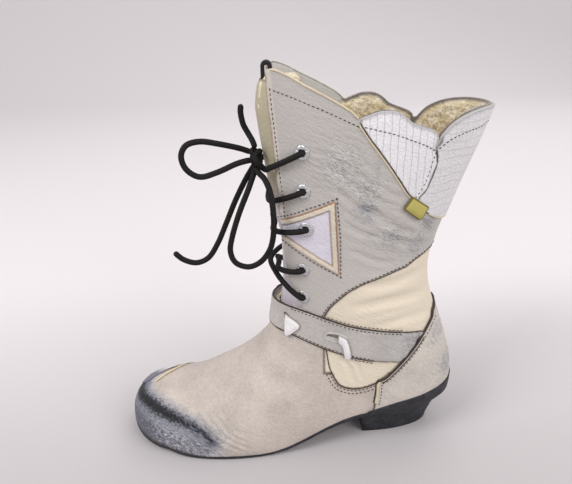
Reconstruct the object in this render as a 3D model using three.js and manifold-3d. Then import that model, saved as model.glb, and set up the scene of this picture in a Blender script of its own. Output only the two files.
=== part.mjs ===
// A mid-height mukluk boot for the left foot, in millimetres: a soft leather upper on a thin sole
// and a low block heel, laced over a fleece-backed tongue, with a strap round the instep.
// The origin is the middle of the heel's underside on the floor. The toe points to -X, the outer
// (lateral) side of the foot faces -Y, and +Z is up.
import * as THREE from "three";
import { mergeVertices } from "three/addons/utils/BufferGeometryUtils.js";
import Module from "manifold-3d";

const wasm = await Module();
wasm.setup();

// Driving sizes.
const FOOT_LENGTH = 270.5; // tip of the toe to the back of the counter
const ANKLE_DEPTH = 145; // front of the throat to the back of the counter
const HEEL_REACH = 41; // middle of the heel's underside to the back of the counter
const BALL_WIDTH = 99;
const INSTEP_HEIGHT = 100; // floor to the top of the foot, just below the throat
const SHAFT_HEIGHT = 300; // floor to the front corner of the flaps
const SHAFT_WIDTH = 75; // across the shaft at the ankle
const TOE_SPRING = 9;
const HEEL_HEIGHT = 30;
const SOLE_THICKNESS = 4;
const INSOLE_THICKNESS = 2.5;
const WALL = 2.6; // leather with its backing
const CLEARANCE = 0.3; // between pieces that lie on each other
const INSIDE_GAP = 0.8; // between the wall's curved inside and what lies behind it
const TONGUE_THICKNESS = 7; // leather and its thick fleece
const STRAP_THICKNESS = 1.6;
const COUNTER_THICKNESS = 1.2;
const PANEL_THICKNESS = 1;
const THONG_THICKNESS = 1.2;
const LACE_DIAMETER = 3.2;
const EYELET_BORE = 4.4;
const EYELET_BARREL = 6.2;
const EYELET_FLANGE = 10.6;
const EYELET_RIM = 0.8; // thickness of the flange
const PULL_LOOP_WIDTH = 9;
const PULL_LOOP_DEPTH = 8;
const PULL_LOOP_RISE = 10;

// Stations run along the foot: 0 is the back of the counter, 1 is under the front of the throat
// and 2 is the tip of the toe. Levels run upwards: 0 is the floor, 1 is the instep and 2 is the
// front corner of the flaps. Every table below is given in these, so it follows the sizes.
const THROAT_FRONT = HEEL_REACH - ANKLE_DEPTH;
const TOE_TIP = HEEL_REACH - FOOT_LENGTH;
const station = (s) =>
  s <= 1 ? HEEL_REACH - s * ANKLE_DEPTH : THROAT_FRONT + (s - 1) * (TOE_TIP - THROAT_FRONT);
const depth = (s) => HEEL_REACH - s * ANKLE_DEPTH; // the same scale, carried on past the throat
const level = (l) =>
  l <= 1 ? l * INSTEP_HEIGHT : INSTEP_HEIGHT + (l - 1) * (SHAFT_HEIGHT - INSTEP_HEIGHT);

// The last's sections, each a plane from a point on the ridge (front) to one on the sole or the
// heel's back (base), fanned round the instep. Half-widths are shares of the ball or the shaft,
// waist is how far up the section it is widest, crown and keel are how square its top and its
// bottom are. Base levels under the forefoot lie below the floor, where the sole cuts the section.
// Columns: front station, front level, base station, base level, outer, inner, lean, waist, crown, keel.
const FOOT_SECTIONS = [
  [1.733, 0.42, 1.733, -0.11, 0.414, 0.394, 0.05, 0.47, 2.3, 3.0],
  [1.63, 0.435, 1.63, -0.12, 0.475, 0.434, 0.05, 0.45, 2.3, 3.0],
  [1.51, 0.465, 1.51, -0.13, 0.51, 0.465, 0.05, 0.42, 2.2, 3.0],
  [1.359, 0.57, 1.359, -0.14, 0.525, 0.475, 0.04, 0.36, 2.1, 3.0],
  [1.207, 0.705, 1.2, -0.14, 0.525, 0.455, 0.03, 0.32, 2.0, 3.0],
  [1.104, 0.83, 1.024, -0.13, 0.505, 0.414, 0.02, 0.3, 2.0, 3.0],
  [1.048, 0.925, 0.848, -0.1, 0.465, 0.379, 0.01, 0.31, 2.0, 3.0],
];
// Columns: front depth, front level, base depth, base level, outer, inner, waist, crown, keel.
const SHAFT_SECTIONS = [
  [1.024, 1.0, 0.655, -0.04, 0.547, 0.48, 0.35, 2.0, 2.9],
  [1.014, 1.035, 0.455, 0.0, 0.507, 0.48, 0.39, 2.0, 2.8],
  [1.007, 1.07, 0.234, 0.03, 0.493, 0.48, 0.42, 2.0, 2.7],
  [1.0, 1.105, 0.062, 0.14, 0.493, 0.487, 0.44, 2.0, 2.6],
  [0.997, 1.145, 0.0, 0.38, 0.493, 0.493, 0.46, 2.0, 2.5],
  [0.993, 1.19, 0.0, 0.63, 0.493, 0.493, 0.48, 2.1, 2.4],
  [0.99, 1.24, 0.045, 0.88, 0.493, 0.493, 0.5, 2.1, 2.3],
  [0.99, 1.3, 0.107, 1.065, 0.493, 0.493, 0.5, 2.1, 2.2],
  [0.993, 1.37, 0.155, 1.19, 0.493, 0.493, 0.5, 2.2, 2.2],
  [1.003, 1.45, 0.159, 1.305, 0.5, 0.5, 0.5, 2.2, 2.2],
  [1.017, 1.555, 0.097, 1.465, 0.513, 0.513, 0.5, 2.2, 2.2],
  [1.038, 1.7, 0.007, 1.65, 0.527, 0.527, 0.5, 2.2, 2.1],
  [1.066, 1.875, -0.103, 1.87, 0.547, 0.547, 0.5, 2.2, 2.0],
  [1.097, 2.08, -0.2, 2.08, 0.56, 0.56, 0.5, 2.2, 2.0],
];
const SECTIONS = [
  ...FOOT_SECTIONS.map(([front, rise, base, drop, outer, inner, lean, waist, crown, keel]) => [
    station(front),
    level(rise),
    station(base),
    level(drop),
    outer * BALL_WIDTH,
    inner * BALL_WIDTH,
    lean * BALL_WIDTH,
    waist,
    crown,
    keel,
  ]),
  ...SHAFT_SECTIONS.map(([front, rise, base, drop, outer, inner, waist, crown, keel]) => [
    depth(front),
    level(rise),
    depth(base),
    level(drop),
    outer * SHAFT_WIDTH,
    inner * SHAFT_WIDTH,
    0,
    waist,
    crown,
    keel,
  ]),
];
const TOP_SECTION = SECTIONS.length - 1;

// The row at u of a table, smoothly between its rows (a Catmull-Rom curve through each column).
function blend(rows, u) {
  const i = Math.min(Math.max(Math.floor(u), 0), rows.length - 2);
  const t = u - i;
  const [a, b, c, d] = [-1, 0, 1, 2].map(
    (k) => rows[Math.min(Math.max(i + k, 0), rows.length - 1)],
  );
  return b.map(
    (v, k) =>
      0.5 *
      (2 * v +
        (c[k] - a[k]) * t +
        (2 * a[k] - 5 * v + 4 * c[k] - d[k]) * t ** 2 +
        (3 * v - a[k] - 3 * c[k] + d[k]) * t ** 3),
  );
}

// The section at u: from 0 up, the table's; from -1 to 0, the toe's rounding to its tip.
const TOE_EDGE = 0.06 * INSTEP_HEIGHT; // height of the upper at the very tip
const TOE_TAPER = 0.18; // width that the rounding loses, to carry on the table's own narrowing
const TOE_PLAN_ROUND = 2.1; // exponents of the toe's outline from above and from the side
const TOE_SIDE_ROUND = [2.4, 2.2];
function section(u) {
  if (u >= 0) return blend(SECTIONS, u);
  const row = [...SECTIONS[0]];
  const [baseX, top, , keel, outer, inner, lean] = row;
  const along = 1 - Math.cos(((1 + u) * Math.PI) / 2);
  const round = Math.sqrt(1 - (1 - along) ** TOE_PLAN_ROUND);
  const rise = (1 - (1 - along) ** TOE_SIDE_ROUND[0]) ** (1 / TOE_SIDE_ROUND[1]);
  const taper = 1 - TOE_TAPER * (1 - along);
  row[0] = row[2] = TOE_TIP + (baseX - TOE_TIP) * along;
  row[1] = TOE_SPRING + TOE_EDGE + (top - TOE_SPRING - TOE_EDGE) * rise;
  row[3] = TOE_SPRING - (TOE_SPRING - keel) * Math.sqrt(rise);
  row[4] = (outer + lean) * round * taper - lean;
  row[5] = (inner - lean) * round * taper + lean;
  return row;
}

// A point of the boot's outer surface: u picks the section and phi runs round it, from the base
// (-90 degrees) by the inner side (0) and the ridge (90) to the outer side (180).
function surface(u, phi) {
  const [frontX, frontZ, baseX, baseZ, outer, inner, lean, waist, crown, keel] = section(u);
  const c = Math.cos(phi);
  const s = Math.sin(phi);
  const power = 2 / (s >= 0 ? crown : keel);
  const across = Math.sign(c) * Math.abs(c) ** power;
  const up = Math.sign(s) * Math.abs(s) ** power;
  const k = up >= 0 ? waist + (1 - waist) * up : waist * (1 + up);
  return new THREE.Vector3(
    baseX + (frontX - baseX) * k,
    lean + (c < 0 ? outer + lean : inner - lean) * across,
    baseZ + (frontZ - baseZ) * k,
  );
}

// The outward normal there, and the point moved along it.
const FIRST_U = -0.98;
const RIDGE = Math.PI / 2; // the phi of the ridge line down the front
function normal(u, phi) {
  const step = 1e-3;
  const low = Math.max(u - step, FIRST_U);
  const high = Math.min(u + step, TOP_SECTION);
  const alongBoot = surface(high, phi).sub(surface(low, phi));
  const round = surface(u, phi + step).sub(surface(u, phi - step));
  return round.cross(alongBoot).normalize();
}
const skin = (u, phi, offset) => surface(u, phi).addScaledVector(normal(u, phi), offset);

// The u and phi of the surface point that has this x and z, on the outer (-1) or inner (1) side,
// by a grid search that halves its reach each round.
const SEARCH_ROUNDS = 16;
const SEARCH_HALF = 8;
function onSide(x, z, side) {
  const middle = side < 0 ? Math.PI : 0;
  let best = { miss: Infinity };
  let reach = { u: TOP_SECTION / 2, phi: 0.45 * Math.PI };
  let centre = { u: TOP_SECTION / 2, phi: middle };
  for (let round = 0; round < SEARCH_ROUNDS; round++) {
    for (let i = -SEARCH_HALF; i <= SEARCH_HALF; i++)
      for (let j = -SEARCH_HALF; j <= SEARCH_HALF; j++) {
        const u = THREE.MathUtils.clamp(centre.u + (i / SEARCH_HALF) * reach.u, 0, TOP_SECTION);
        const phi = centre.phi + (j / SEARCH_HALF) * reach.phi;
        const p = surface(u, phi);
        const miss = Math.hypot(p.x - x, p.z - z);
        if (miss < best.miss) best = { miss, u, phi };
      }
    centre = { u: best.u, phi: best.phi };
    reach = { u: reach.u / 2, phi: reach.phi / 2 };
  }
  return best;
}

// Solids from three.js geometry, and back.
function solidOf(geometry) {
  const bare = geometry.clone();
  bare.deleteAttribute("normal");
  bare.deleteAttribute("uv");
  const merged = mergeVertices(bare, 1e-4);
  return new wasm.Manifold(
    new wasm.Mesh({
      numProp: 3,
      vertProperties: new Float32Array(merged.attributes.position.array),
      triVerts: new Uint32Array(merged.index.array),
    }),
  );
}
function geometryOf(solid) {
  const mesh = solid.getMesh();
  const geometry = new THREE.BufferGeometry();
  geometry.setAttribute("position", new THREE.BufferAttribute(mesh.vertProperties, 3));
  geometry.setIndex(new THREE.BufferAttribute(mesh.triVerts, 1));
  const flat = geometry.toNonIndexed();
  flat.computeVertexNormals();
  return flat;
}

// A closed solid from rings of points: each ring is joined to the next, and both ends are capped.
function loft(rings) {
  const count = rings[0].length;
  const points = rings.flat();
  const faces = [];
  for (let i = 0; i + 1 < rings.length; i++)
    for (let j = 0; j < count; j++) {
      const a = i * count + j;
      const b = i * count + ((j + 1) % count);
      faces.push(a, b, a + count, b, b + count, a + count);
    }
  const cap = (ring, first, turned) => {
    const hub = points.length;
    const middle = new THREE.Vector3();
    for (const p of ring) middle.addScaledVector(p, 1 / count);
    points.push(middle);
    for (let j = 0; j < count; j++) {
      const [a, b] = [first + j, first + ((j + 1) % count)];
      faces.push(...(turned ? [hub, b, a] : [hub, a, b]));
    }
  };
  cap(rings[0], 0, true);
  cap(rings[rings.length - 1], (rings.length - 1) * count, false);
  const geometry = new THREE.BufferGeometry();
  geometry.setAttribute(
    "position",
    new THREE.Float32BufferAttribute(points.flatMap((p) => p.toArray()), 3),
  );
  geometry.setIndex(faces);
  return solidOf(geometry);
}

// A prism with an outline in the boot's side view (x and z), from one y to another.
function sidePrism(outline, fromY, toY) {
  const shape = new THREE.Shape(outline.map(([x, z]) => new THREE.Vector2(x, z)));
  const geometry = new THREE.ExtrudeGeometry(shape, { depth: toY - fromY, bevelEnabled: false });
  return solidOf(geometry.rotateX(Math.PI / 2).translate(0, toY, 0));
}
const FAR = 2 * BALL_WIDTH; // past either side of the boot

// A tube of a section radius along a curve, with flat ends.
function tube(curve, radius, steps, sides = 8) {
  const ring = [];
  for (let i = 0; i < sides; i++) {
    const turn = (2 * Math.PI * i) / sides;
    ring.push(new THREE.Vector2(radius * Math.cos(turn), radius * Math.sin(turn)));
  }
  const options = { steps, extrudePath: curve, bevelEnabled: false };
  return solidOf(new THREE.ExtrudeGeometry(new THREE.Shape(ring), options));
}
const through = (points) => new THREE.CatmullRomCurve3(points, false, "centripetal");

// The body of the boot as a solid whose surface lies at an offset from the outer surface.
const OUTSIDE_GRID = [6, 26, 26]; // rings round the toe, rings behind it, and points on a ring
const INSIDE_GRID = [5, 18, 20];
function body(offset, [toeRings, bodyRings, sides] = OUTSIDE_GRID) {
  const places = [];
  for (let i = 0; i < toeRings; i++) places.push(FIRST_U * (1 - i / toeRings));
  for (let i = 0; i <= bodyRings; i++) places.push((TOP_SECTION * i) / bodyRings);
  const rings = places.map((u) => {
    const ring = [];
    for (let j = 0; j < sides; j++) {
      ring.push(skin(u, -Math.PI / 2 + (2 * Math.PI * (j + 0.5)) / sides, offset));
    }
    return ring;
  });
  return loft(rings);
}

// The underside of the sole from heel to toe.
// Columns: station, share of the toe spring, share of the heel's height.
const SOLE_LINE = [
  [-0.2, 0, 1.3],
  [-0.007, 0, 1.167],
  [0.179, 0, 1.083],
  [0.352, 0, 0.983],
  [0.531, 0, 0.85],
  [0.628, 0, 0.717],
  [0.724, 0, 0.55],
  [0.834, 0, 0.333],
  [0.945, 0, 0.12],
  [1.032, 0, 0.027],
  [1.112, 0, 0],
  [1.462, 0, 0],
  [1.526, 0.03, 0],
  [1.645, 0.18, 0],
  [1.765, 0.4, 0],
  [1.884, 0.69, 0],
  [2.004, 1, 0],
  [2.2, 1.5, 0],
];
const soleLine = (lift) =>
  SOLE_LINE.map(([s, toe, heel]) => [station(s), toe * TOE_SPRING + heel * HEEL_HEIGHT + lift]);
const DEEP = -INSTEP_HEIGHT; // below everything
function below(lift) {
  const line = soleLine(lift);
  const [back, front] = [line[0][0], line[line.length - 1][0]];
  return sidePrism([...line, [front, DEEP], [back, DEEP]], -FAR, FAR);
}

// The throat: the gap between the flaps, cut straight across in the side view.
// Columns: depth, level, from the foot of the throat to above the flaps.
const THROAT_FOOT = 1.105;
const THROAT_EDGE = [
  [0.85, THROAT_FOOT],
  [0.848, 1.145],
  [0.883, 1.19],
  [0.911, 1.235],
  [0.928, 1.29],
  [0.945, 1.39],
  [0.957, 1.525],
  [0.969, 1.685],
  [0.985, 1.815],
  [1.0, 1.95],
  [1.004, 2.1],
];
const IN_FRONT = 1.4; // a depth in front of everything
const ABOVE = 2.4; // a level above everything
const side = ([s, l]) => [depth(s), level(l)];
const throatOutline = [...THROAT_EDGE, [IN_FRONT, THROAT_EDGE.at(-1)[1]], [IN_FRONT, THROAT_FOOT]];
const throat = sidePrism(throatOutline.map(side), -FAR, FAR);

// The collar's line in the side view: down the flap, over the front cuff, into the notch at the
// side and up the back cuff. Columns: depth, level.
const NOTCH = [0.238, 1.745];
const FLAP_TOP = [
  [1.02, 1.995],
  [1.0, 2.0],
  [0.965, 2.003],
  [0.903, 1.986],
  [0.828, 1.956],
  [0.724, 1.917],
  [0.634, 1.878],
  [0.593, 1.849],
];
const FRONT_CUFF_TOP = [
  [0.575, 1.855],
  [0.517, 1.87],
  [0.476, 1.874],
  [0.432, 1.871],
  [0.392, 1.856],
  [0.349, 1.83],
  [0.271, 1.809],
  [0.237, 1.796],
  [0.226, 1.777],
];
const BEHIND = -0.3; // a depth behind everything
const BACK_CUFF_TOP = [
  [0.222, 1.765],
  [0.203, 1.785],
  [0.152, 1.822],
  [0.076, 1.847],
  [-0.014, 1.858],
  [-0.11, 1.857],
  [BEHIND, 1.85],
];
const collarLine = [...FLAP_TOP, ...FRONT_CUFF_TOP, NOTCH, ...BACK_CUFF_TOP];
const overCollar = [
  [BEHIND, ABOVE],
  [IN_FRONT, ABOVE],
  [IN_FRONT, FLAP_TOP[0][1]],
];
const collar = sidePrism([...collarLine, ...overCollar].map(side), -FAR, FAR);

// Eyelets, five down each flap, from the top. Columns: depth, level.
const EYELETS = [
  [0.845, 1.737],
  [0.842, 1.6],
  [0.827, 1.462],
  [0.846, 1.293],
  [0.846, 1.175],
];
const EYELET_SIDES = 8;
const EYELET_DRILL = 8 * WALL; // length of the cut, past both faces of the wall and the patch
const PATCHED_EYELET = 2; // this one sits on the triangular patch
const SIDES = [
  ["outer", -1],
  ["inner", 1],
];
const eyeletSeats = SIDES.map(([, sign]) =>
  EYELETS.map(([s, l]) => onSide(depth(s), level(l), sign)),
);

// A placed copy of a geometry whose own +Y axis becomes the surface's outward normal.
function alongNormal(geometry, seat, offset) {
  const out = normal(seat.u, seat.phi);
  const turn = new THREE.Quaternion().setFromUnitVectors(new THREE.Vector3(0, 1, 0), out);
  const place = skin(seat.u, seat.phi, offset);
  return geometry.applyQuaternion(turn).translate(place.x, place.y, place.z);
}
const eyeletHole = (seat) =>
  solidOf(
    alongNormal(
      new THREE.CylinderGeometry(
        EYELET_BARREL / 2 + 2 * CLEARANCE,
        EYELET_BARREL / 2 + 2 * CLEARANCE,
        EYELET_DRILL,
        EYELET_SIDES,
      ),
      seat,
      -WALL / 2,
    ),
  );

// The upper: one hollow wall, open at the collar, at the throat and underneath.
const outerBody = body(0);
const innerBody = body(-WALL, INSIDE_GRID);
const eyeletHoles = wasm.Manifold.union(eyeletSeats.flat().map(eyeletHole));
const upper = outerBody
  .subtract(innerBody)
  .subtract(below(SOLE_THICKNESS + CLEARANCE))
  .subtract(throat)
  .subtract(collar)
  .subtract(eyeletHoles);

// The sole has the body's own outline, and the insole the outline inside the wall.
const outsole = outerBody.intersect(below(SOLE_THICKNESS)).subtract(below(0));
const insole = body(-WALL - CLEARANCE, INSIDE_GRID)
  .intersect(below(SOLE_THICKNESS + CLEARANCE + INSOLE_THICKNESS))
  .subtract(below(SOLE_THICKNESS + CLEARANCE));

// The heel: a D in plan, straight at its breast and round at its back, tapering to the floor.
// Columns: level, breast depth, back depth, half-width as a share of the shaft's width.
const HEEL_SECTIONS = [
  [0, 0.503, 0.097, 0.31],
  [0.12, 0.515, 0.07, 0.335],
  [0.24, 0.535, 0.035, 0.37],
  [0.33, 0.552, 0.012, 0.4],
  [0.45, 0.57, -0.01, 0.43],
];
const HEEL_SQUARE = 2.1;
const HEEL_SIDES = 20;
function heelRing([l, breast, back, share]) {
  const ring = [];
  const front = depth(breast);
  const length = depth(back) - front;
  for (let i = 0; i <= HEEL_SIDES; i++) {
    const turn = (Math.PI * i) / HEEL_SIDES;
    const reach = Math.sin(turn) ** (2 / HEEL_SQUARE);
    const across = Math.sign(Math.cos(turn)) * Math.abs(Math.cos(turn)) ** (2 / HEEL_SQUARE);
    ring.push(
      new THREE.Vector3(front + length * reach, -share * SHAFT_WIDTH * across, l * INSTEP_HEIGHT),
    );
  }
  return ring;
}
const underHeel = below(-CLEARANCE);
const heel = loft(HEEL_SECTIONS.map(heelRing)).intersect(underHeel);

// The tongue lies behind the wall and the eyelets, and swells between the flaps. Its columns:
// section, how far its sides stay back to clear the eyelets (0 to 1), and how far its middle
// stands out from them.
const TONGUE_SECTIONS = [
  [8.2, 0, -1.4],
  [9.6, 0.6, -1.8],
  [11, 1, -2],
  [13.5, 1, -2.4],
  [15.4, 1, -1.6],
  [16.4, 1, 0.6],
  [17.3, 1, 2.6],
  [18.3, 1, 3.6],
  [19.4, 1, 3.9],
];
const TONGUE_HALF = 0.29 * Math.PI; // half of its width as an angle round the section
const TONGUE_SWELL = 0.2 * Math.PI; // half of the width that swells
const TONGUE_SEAT = -WALL - INSIDE_GAP;
const TONGUE_BACK = EYELET_RIM + 2 * CLEARANCE;
const tongueShape = TONGUE_SECTIONS.map(([, back, out]) => [back, out]);
function tongueOffset(u, phi) {
  const at = TONGUE_SECTIONS.findIndex(([s]) => s > u);
  const i = at < 0 ? TONGUE_SECTIONS.length - 2 : Math.max(at - 1, 0);
  const [low, high] = [TONGUE_SECTIONS[i][0], TONGUE_SECTIONS[i + 1][0]];
  const [back, out] = blend(tongueShape, i + (u - low) / (high - low));
  const away = Math.min(Math.abs(phi - RIDGE) / TONGUE_SWELL, 1);
  return TONGUE_SEAT - TONGUE_BACK * back + out * Math.cos((away * Math.PI) / 2) ** 2;
}
const TONGUE_RINGS = 13;
const TONGUE_COLUMNS = 10;
const [TONGUE_FOOT, TONGUE_HEAD] = [TONGUE_SECTIONS[0][0], TONGUE_SECTIONS.at(-1)[0]];
function tongueRing(i) {
  const u = TONGUE_FOOT + ((TONGUE_HEAD - TONGUE_FOOT) * i) / TONGUE_RINGS;
  const front = [];
  const back = [];
  for (let j = 0; j <= TONGUE_COLUMNS; j++) {
    const phi = RIDGE + TONGUE_HALF * ((2 * j) / TONGUE_COLUMNS - 1);
    const offset = tongueOffset(u, phi);
    front.push(skin(u, phi, offset));
    back.push(skin(u, phi, offset - TONGUE_THICKNESS));
  }
  return [...front, ...back.reverse()];
}
const tongue = loft(Array.from({ length: TONGUE_RINGS + 1 }, (_, i) => tongueRing(i)));

// The pull loop: a folded tape sewn to the top edge of the tongue, over its fleece.
const PULL_LOOP_TAPE = 1.5;
const loopFoot = skin(TONGUE_HEAD, RIDGE, tongueOffset(TONGUE_HEAD, RIDGE) - TONGUE_THICKNESS);
const loopHalf = PULL_LOOP_DEPTH / 2;
const loopBend = PULL_LOOP_RISE - loopHalf;
const loopShape = new THREE.Shape();
loopShape.moveTo(-loopHalf, 0);
loopShape.lineTo(-loopHalf, loopBend);
loopShape.absarc(0, loopBend, loopHalf, Math.PI, 0, true);
loopShape.lineTo(loopHalf, 0);
loopShape.lineTo(loopHalf - PULL_LOOP_TAPE, 0);
loopShape.lineTo(loopHalf - PULL_LOOP_TAPE, loopBend);
loopShape.absarc(0, loopBend, loopHalf - PULL_LOOP_TAPE, 0, Math.PI, false);
loopShape.lineTo(PULL_LOOP_TAPE - loopHalf, 0);
loopShape.closePath();
const pullLoop = solidOf(
  new THREE.ExtrudeGeometry(loopShape, {
    depth: PULL_LOOP_WIDTH,
    bevelEnabled: false,
    curveSegments: 6,
  })
    .rotateX(Math.PI / 2)
    .translate(loopFoot.x, PULL_LOOP_WIDTH / 2, tongue.boundingBox().max[2] + CLEARANCE),
);

// Overlays: leather laid on the wall, each cut from the layer between two offsets of the body.
const layerOf = (low, high) => body(high).subtract(body(low));
const onWall = (thickness) => layerOf(CLEARANCE, CLEARANCE + thickness);
const panelLayer = onWall(PANEL_THICKNESS);
const counterLayer = onWall(COUNTER_THICKNESS);
const strapLayer = onWall(STRAP_THICKNESS);
const OUTER_SIDE = [-FAR, 0];
const INNER_SIDE = [0, FAR];
const BOTH_SIDES = [-FAR, FAR];
const cut = (layer, outline, [from, to]) => layer.intersect(sidePrism(outline.map(side), from, to));

// The counter's front edge, from the back of the ankle down to its seam and the sole.
const COUNTER_EDGE = [
  [BEHIND, 1.09],
  [0.104, 1.085],
  [0.15, 1.055],
  [0.199, 1.016],
  [0.25, 0.927],
  [0.32, 0.8],
  [0.35, 0.75],
  [0.407, 0.656],
  [0.444, 0.625],
  [0.45, 0.5],
  [0.463, 0.3],
  [0.47, 0.1],
  [BEHIND, 0.1],
];
const counter = cut(counterLayer, COUNTER_EDGE, BOTH_SIDES).subtract(
  below(SOLE_THICKNESS + CLEARANCE),
);

// The instep strap: once round the front, from the counter's edge on one side to the other.
const STRAP_TOP = [
  [1.2, 1.12],
  [0.965, 1.12],
  [0.848, 1.116],
  [0.741, 1.099],
  [0.6, 1.069],
  [0.461, 1.049],
  [0.338, 1.033],
];
const STRAP_BOTTOM = [
  [0.484, 0.823],
  [0.606, 0.863],
  [0.741, 0.921],
  [0.88, 0.991],
  [0.98, 1.01],
  [1.2, 1.02],
];
const besideCounter = ([s, l]) => [s + (3 * CLEARANCE) / ANKLE_DEPTH, l];
const strapEnd = COUNTER_EDGE.slice(3, 6).map(besideCounter);
// Slots in the strap, with the thong that is drawn through them. Columns: depth, level.
const FRONT_SLOT = [
  [0.945, 1.083],
  [0.93, 1.09],
  [0.868, 1.05],
  [0.87, 1.035],
  [0.93, 1.05],
];
const REAR_SLOT = [
  [0.73, 1.035],
  [0.66, 1.033],
  [0.62, 1.012],
  [0.61, 0.98],
  [0.625, 0.965],
  [0.645, 0.99],
  [0.66, 1.01],
  [0.73, 1.02],
];
const slots = [FRONT_SLOT, REAR_SLOT].map((outline) => sidePrism(outline.map(side), ...BOTH_SIDES));
const strap = cut(strapLayer, [...STRAP_TOP, ...strapEnd, ...STRAP_BOTTOM], BOTH_SIDES)
  .subtract(slots[0])
  .subtract(slots[1]);
const thongBase = STRAP_THICKNESS + 2 * CLEARANCE;
const thongLayer = layerOf(thongBase, thongBase + THONG_THICKNESS);
const THONGS = {
  front: [
    [0.93, 1.083],
    [0.862, 1.056],
    [0.868, 1.03],
    [0.93, 0.985],
    [0.938, 1.03],
  ],
  rear: [
    [0.66, 1.035],
    [0.624, 1.02],
    [0.606, 0.98],
    [0.594, 0.86],
    [0.627, 0.852],
    [0.64, 0.955],
    [0.662, 1.0],
  ],
};

// The cuff's three panels, the triangular patch under the third eyelet, and the blank side label.
const CUFF_SEAM = [
  [0.224, 1.69],
  [0.26, 1.605],
  [0.295, 1.575],
];
const CUFF_FOOT = [
  [0.295, 1.558],
  [0.344, 1.588],
  [0.393, 1.641],
  [0.446, 1.697],
  [0.497, 1.747],
  [0.545, 1.793],
  [0.588, 1.84],
];
const FRONT_CUFF = [...CUFF_FOOT, ...FRONT_CUFF_TOP, [0.236, 1.75], ...CUFF_SEAM];
const BACK_CUFF = [
  [0.208, 1.762],
  ...BACK_CUFF_TOP.slice(1),
  [BEHIND, 1.465],
  [0.1, 1.465],
  [0.185, 1.482],
  [0.25, 1.513],
  [0.287, 1.545],
  [0.287, 1.57],
  [0.252, 1.602],
  [0.216, 1.69],
  [0.224, 1.745],
];
const PATCH = [
  [0.944, 1.482],
  [0.694, 1.569],
  [0.669, 1.288],
  [0.926, 1.402],
];
const LABEL = [
  [0.368, 1.538],
  [0.328, 1.579],
  [0.242, 1.532],
  [0.283, 1.486],
];
const labelBase = PANEL_THICKNESS + 2 * CLEARANCE;
const labelLayer = layerOf(labelBase, labelBase + PANEL_THICKNESS);

// The crescent on the inner side of the toe, in the plan view.
// Columns: station, share of the ball's width towards the inner side.
const TOE_CRESCENT = [
  [1.9, 0.02],
  [1.8, 0.12],
  [1.66, 0.27],
  [1.52, 0.38],
  [1.42, 0.43],
  [1.36, 0.6],
  [1.62, 0.6],
  [1.76, 0.37],
  [1.87, 0.22],
  [1.94, 0.08],
];
const crescentShape = new THREE.Shape(
  TOE_CRESCENT.map(([s, share]) => new THREE.Vector2(station(s), share * BALL_WIDTH)),
);
const crescentPrism = solidOf(
  new THREE.ExtrudeGeometry(crescentShape, { depth: INSTEP_HEIGHT, bevelEnabled: false }),
);
const toeCrescent = panelLayer
  .intersect(crescentPrism)
  .subtract(below(SOLE_THICKNESS + CLEARANCE));

// Eyelets: a flange outside, a barrel through the wall and a smaller crimped flange inside.
const EYELET_CRIMP = 1; // how much smaller its radius is
const EYELET_BEVEL = 0.6;
function eyelet(seat, lift) {
  const top = CLEARANCE + lift;
  const foot = -WALL - INSIDE_GAP;
  const profile = [
    [EYELET_BORE / 2, foot - EYELET_RIM],
    [EYELET_FLANGE / 2 - EYELET_CRIMP, foot - EYELET_RIM],
    [EYELET_FLANGE / 2 - EYELET_CRIMP, foot],
    [EYELET_BARREL / 2, foot],
    [EYELET_BARREL / 2, top],
    [EYELET_FLANGE / 2, top],
    [EYELET_FLANGE / 2 - EYELET_BEVEL, top + EYELET_RIM],
    [EYELET_BORE / 2, top + EYELET_RIM],
    [EYELET_BORE / 2, foot - EYELET_RIM],
  ].map(([r, h]) => new THREE.Vector2(r, h));
  return solidOf(alongNormal(new THREE.LatheGeometry(profile, EYELET_SIDES), seat, 0));
}

// The lace lies on the flaps from each eyelet to the throat and crosses in front of the tongue.
const LACE_RADIUS = LACE_DIAMETER / 2;
const LACE_LIFT = LACE_RADIUS + EYELET_RIM + 3 * CLEARANCE; // over the leather, on the flange
const LACE_DIP = 0.15 * Math.PI; // from here to the ridge it comes down to the tongue
const LACE_LOW = 0.03 * Math.PI; // and from here it lies on the tongue
function overFlap(u, phi, lift) {
  const onTongue = tongueOffset(u, phi) + LACE_RADIUS + 2 * CLEARANCE;
  const share = THREE.MathUtils.smoothstep(Math.abs(phi - RIDGE), LACE_LOW, LACE_DIP);
  return skin(u, phi, onTongue + (LACE_LIFT + lift - onTongue) * share);
}
// From inside an eyelet, out through its bore and over the flap, part of the way to a crossing.
const LACE_STATIONS = [0.16, 0.3, 0.45, 0.62, 0.8, 0.92];
const LACE_TURN = LACE_LIFT - 0.6 * LACE_RADIUS; // where it turns out of the bore
const LACE_ARCH = 1.15; // how far it arches over what lifts it, and how slowly it comes down
const LACE_ARCH_LENGTH = 1.8;
function laceRun(seat, lift, crossingU, stations = LACE_STATIONS) {
  const points = [];
  for (const offset of [-WALL - INSIDE_GAP - EYELET_RIM, -WALL, 0, LACE_TURN + lift]) {
    points.push(skin(seat.u, seat.phi, offset));
  }
  for (const t of stations) {
    const fall = Math.sin((t * Math.PI) / 2);
    const u = seat.u + (crossingU - seat.u) * fall;
    const over = lift * Math.min(LACE_ARCH, LACE_ARCH_LENGTH * (1 - t));
    points.push(overFlap(u, seat.phi + (RIDGE - seat.phi) * t, over));
  }
  return points;
}
const liftOf = (row) => (row === PATCHED_EYELET ? PANEL_THICKNESS + CLEARANCE : 0);
const LACE_STEPS = 18;
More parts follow.
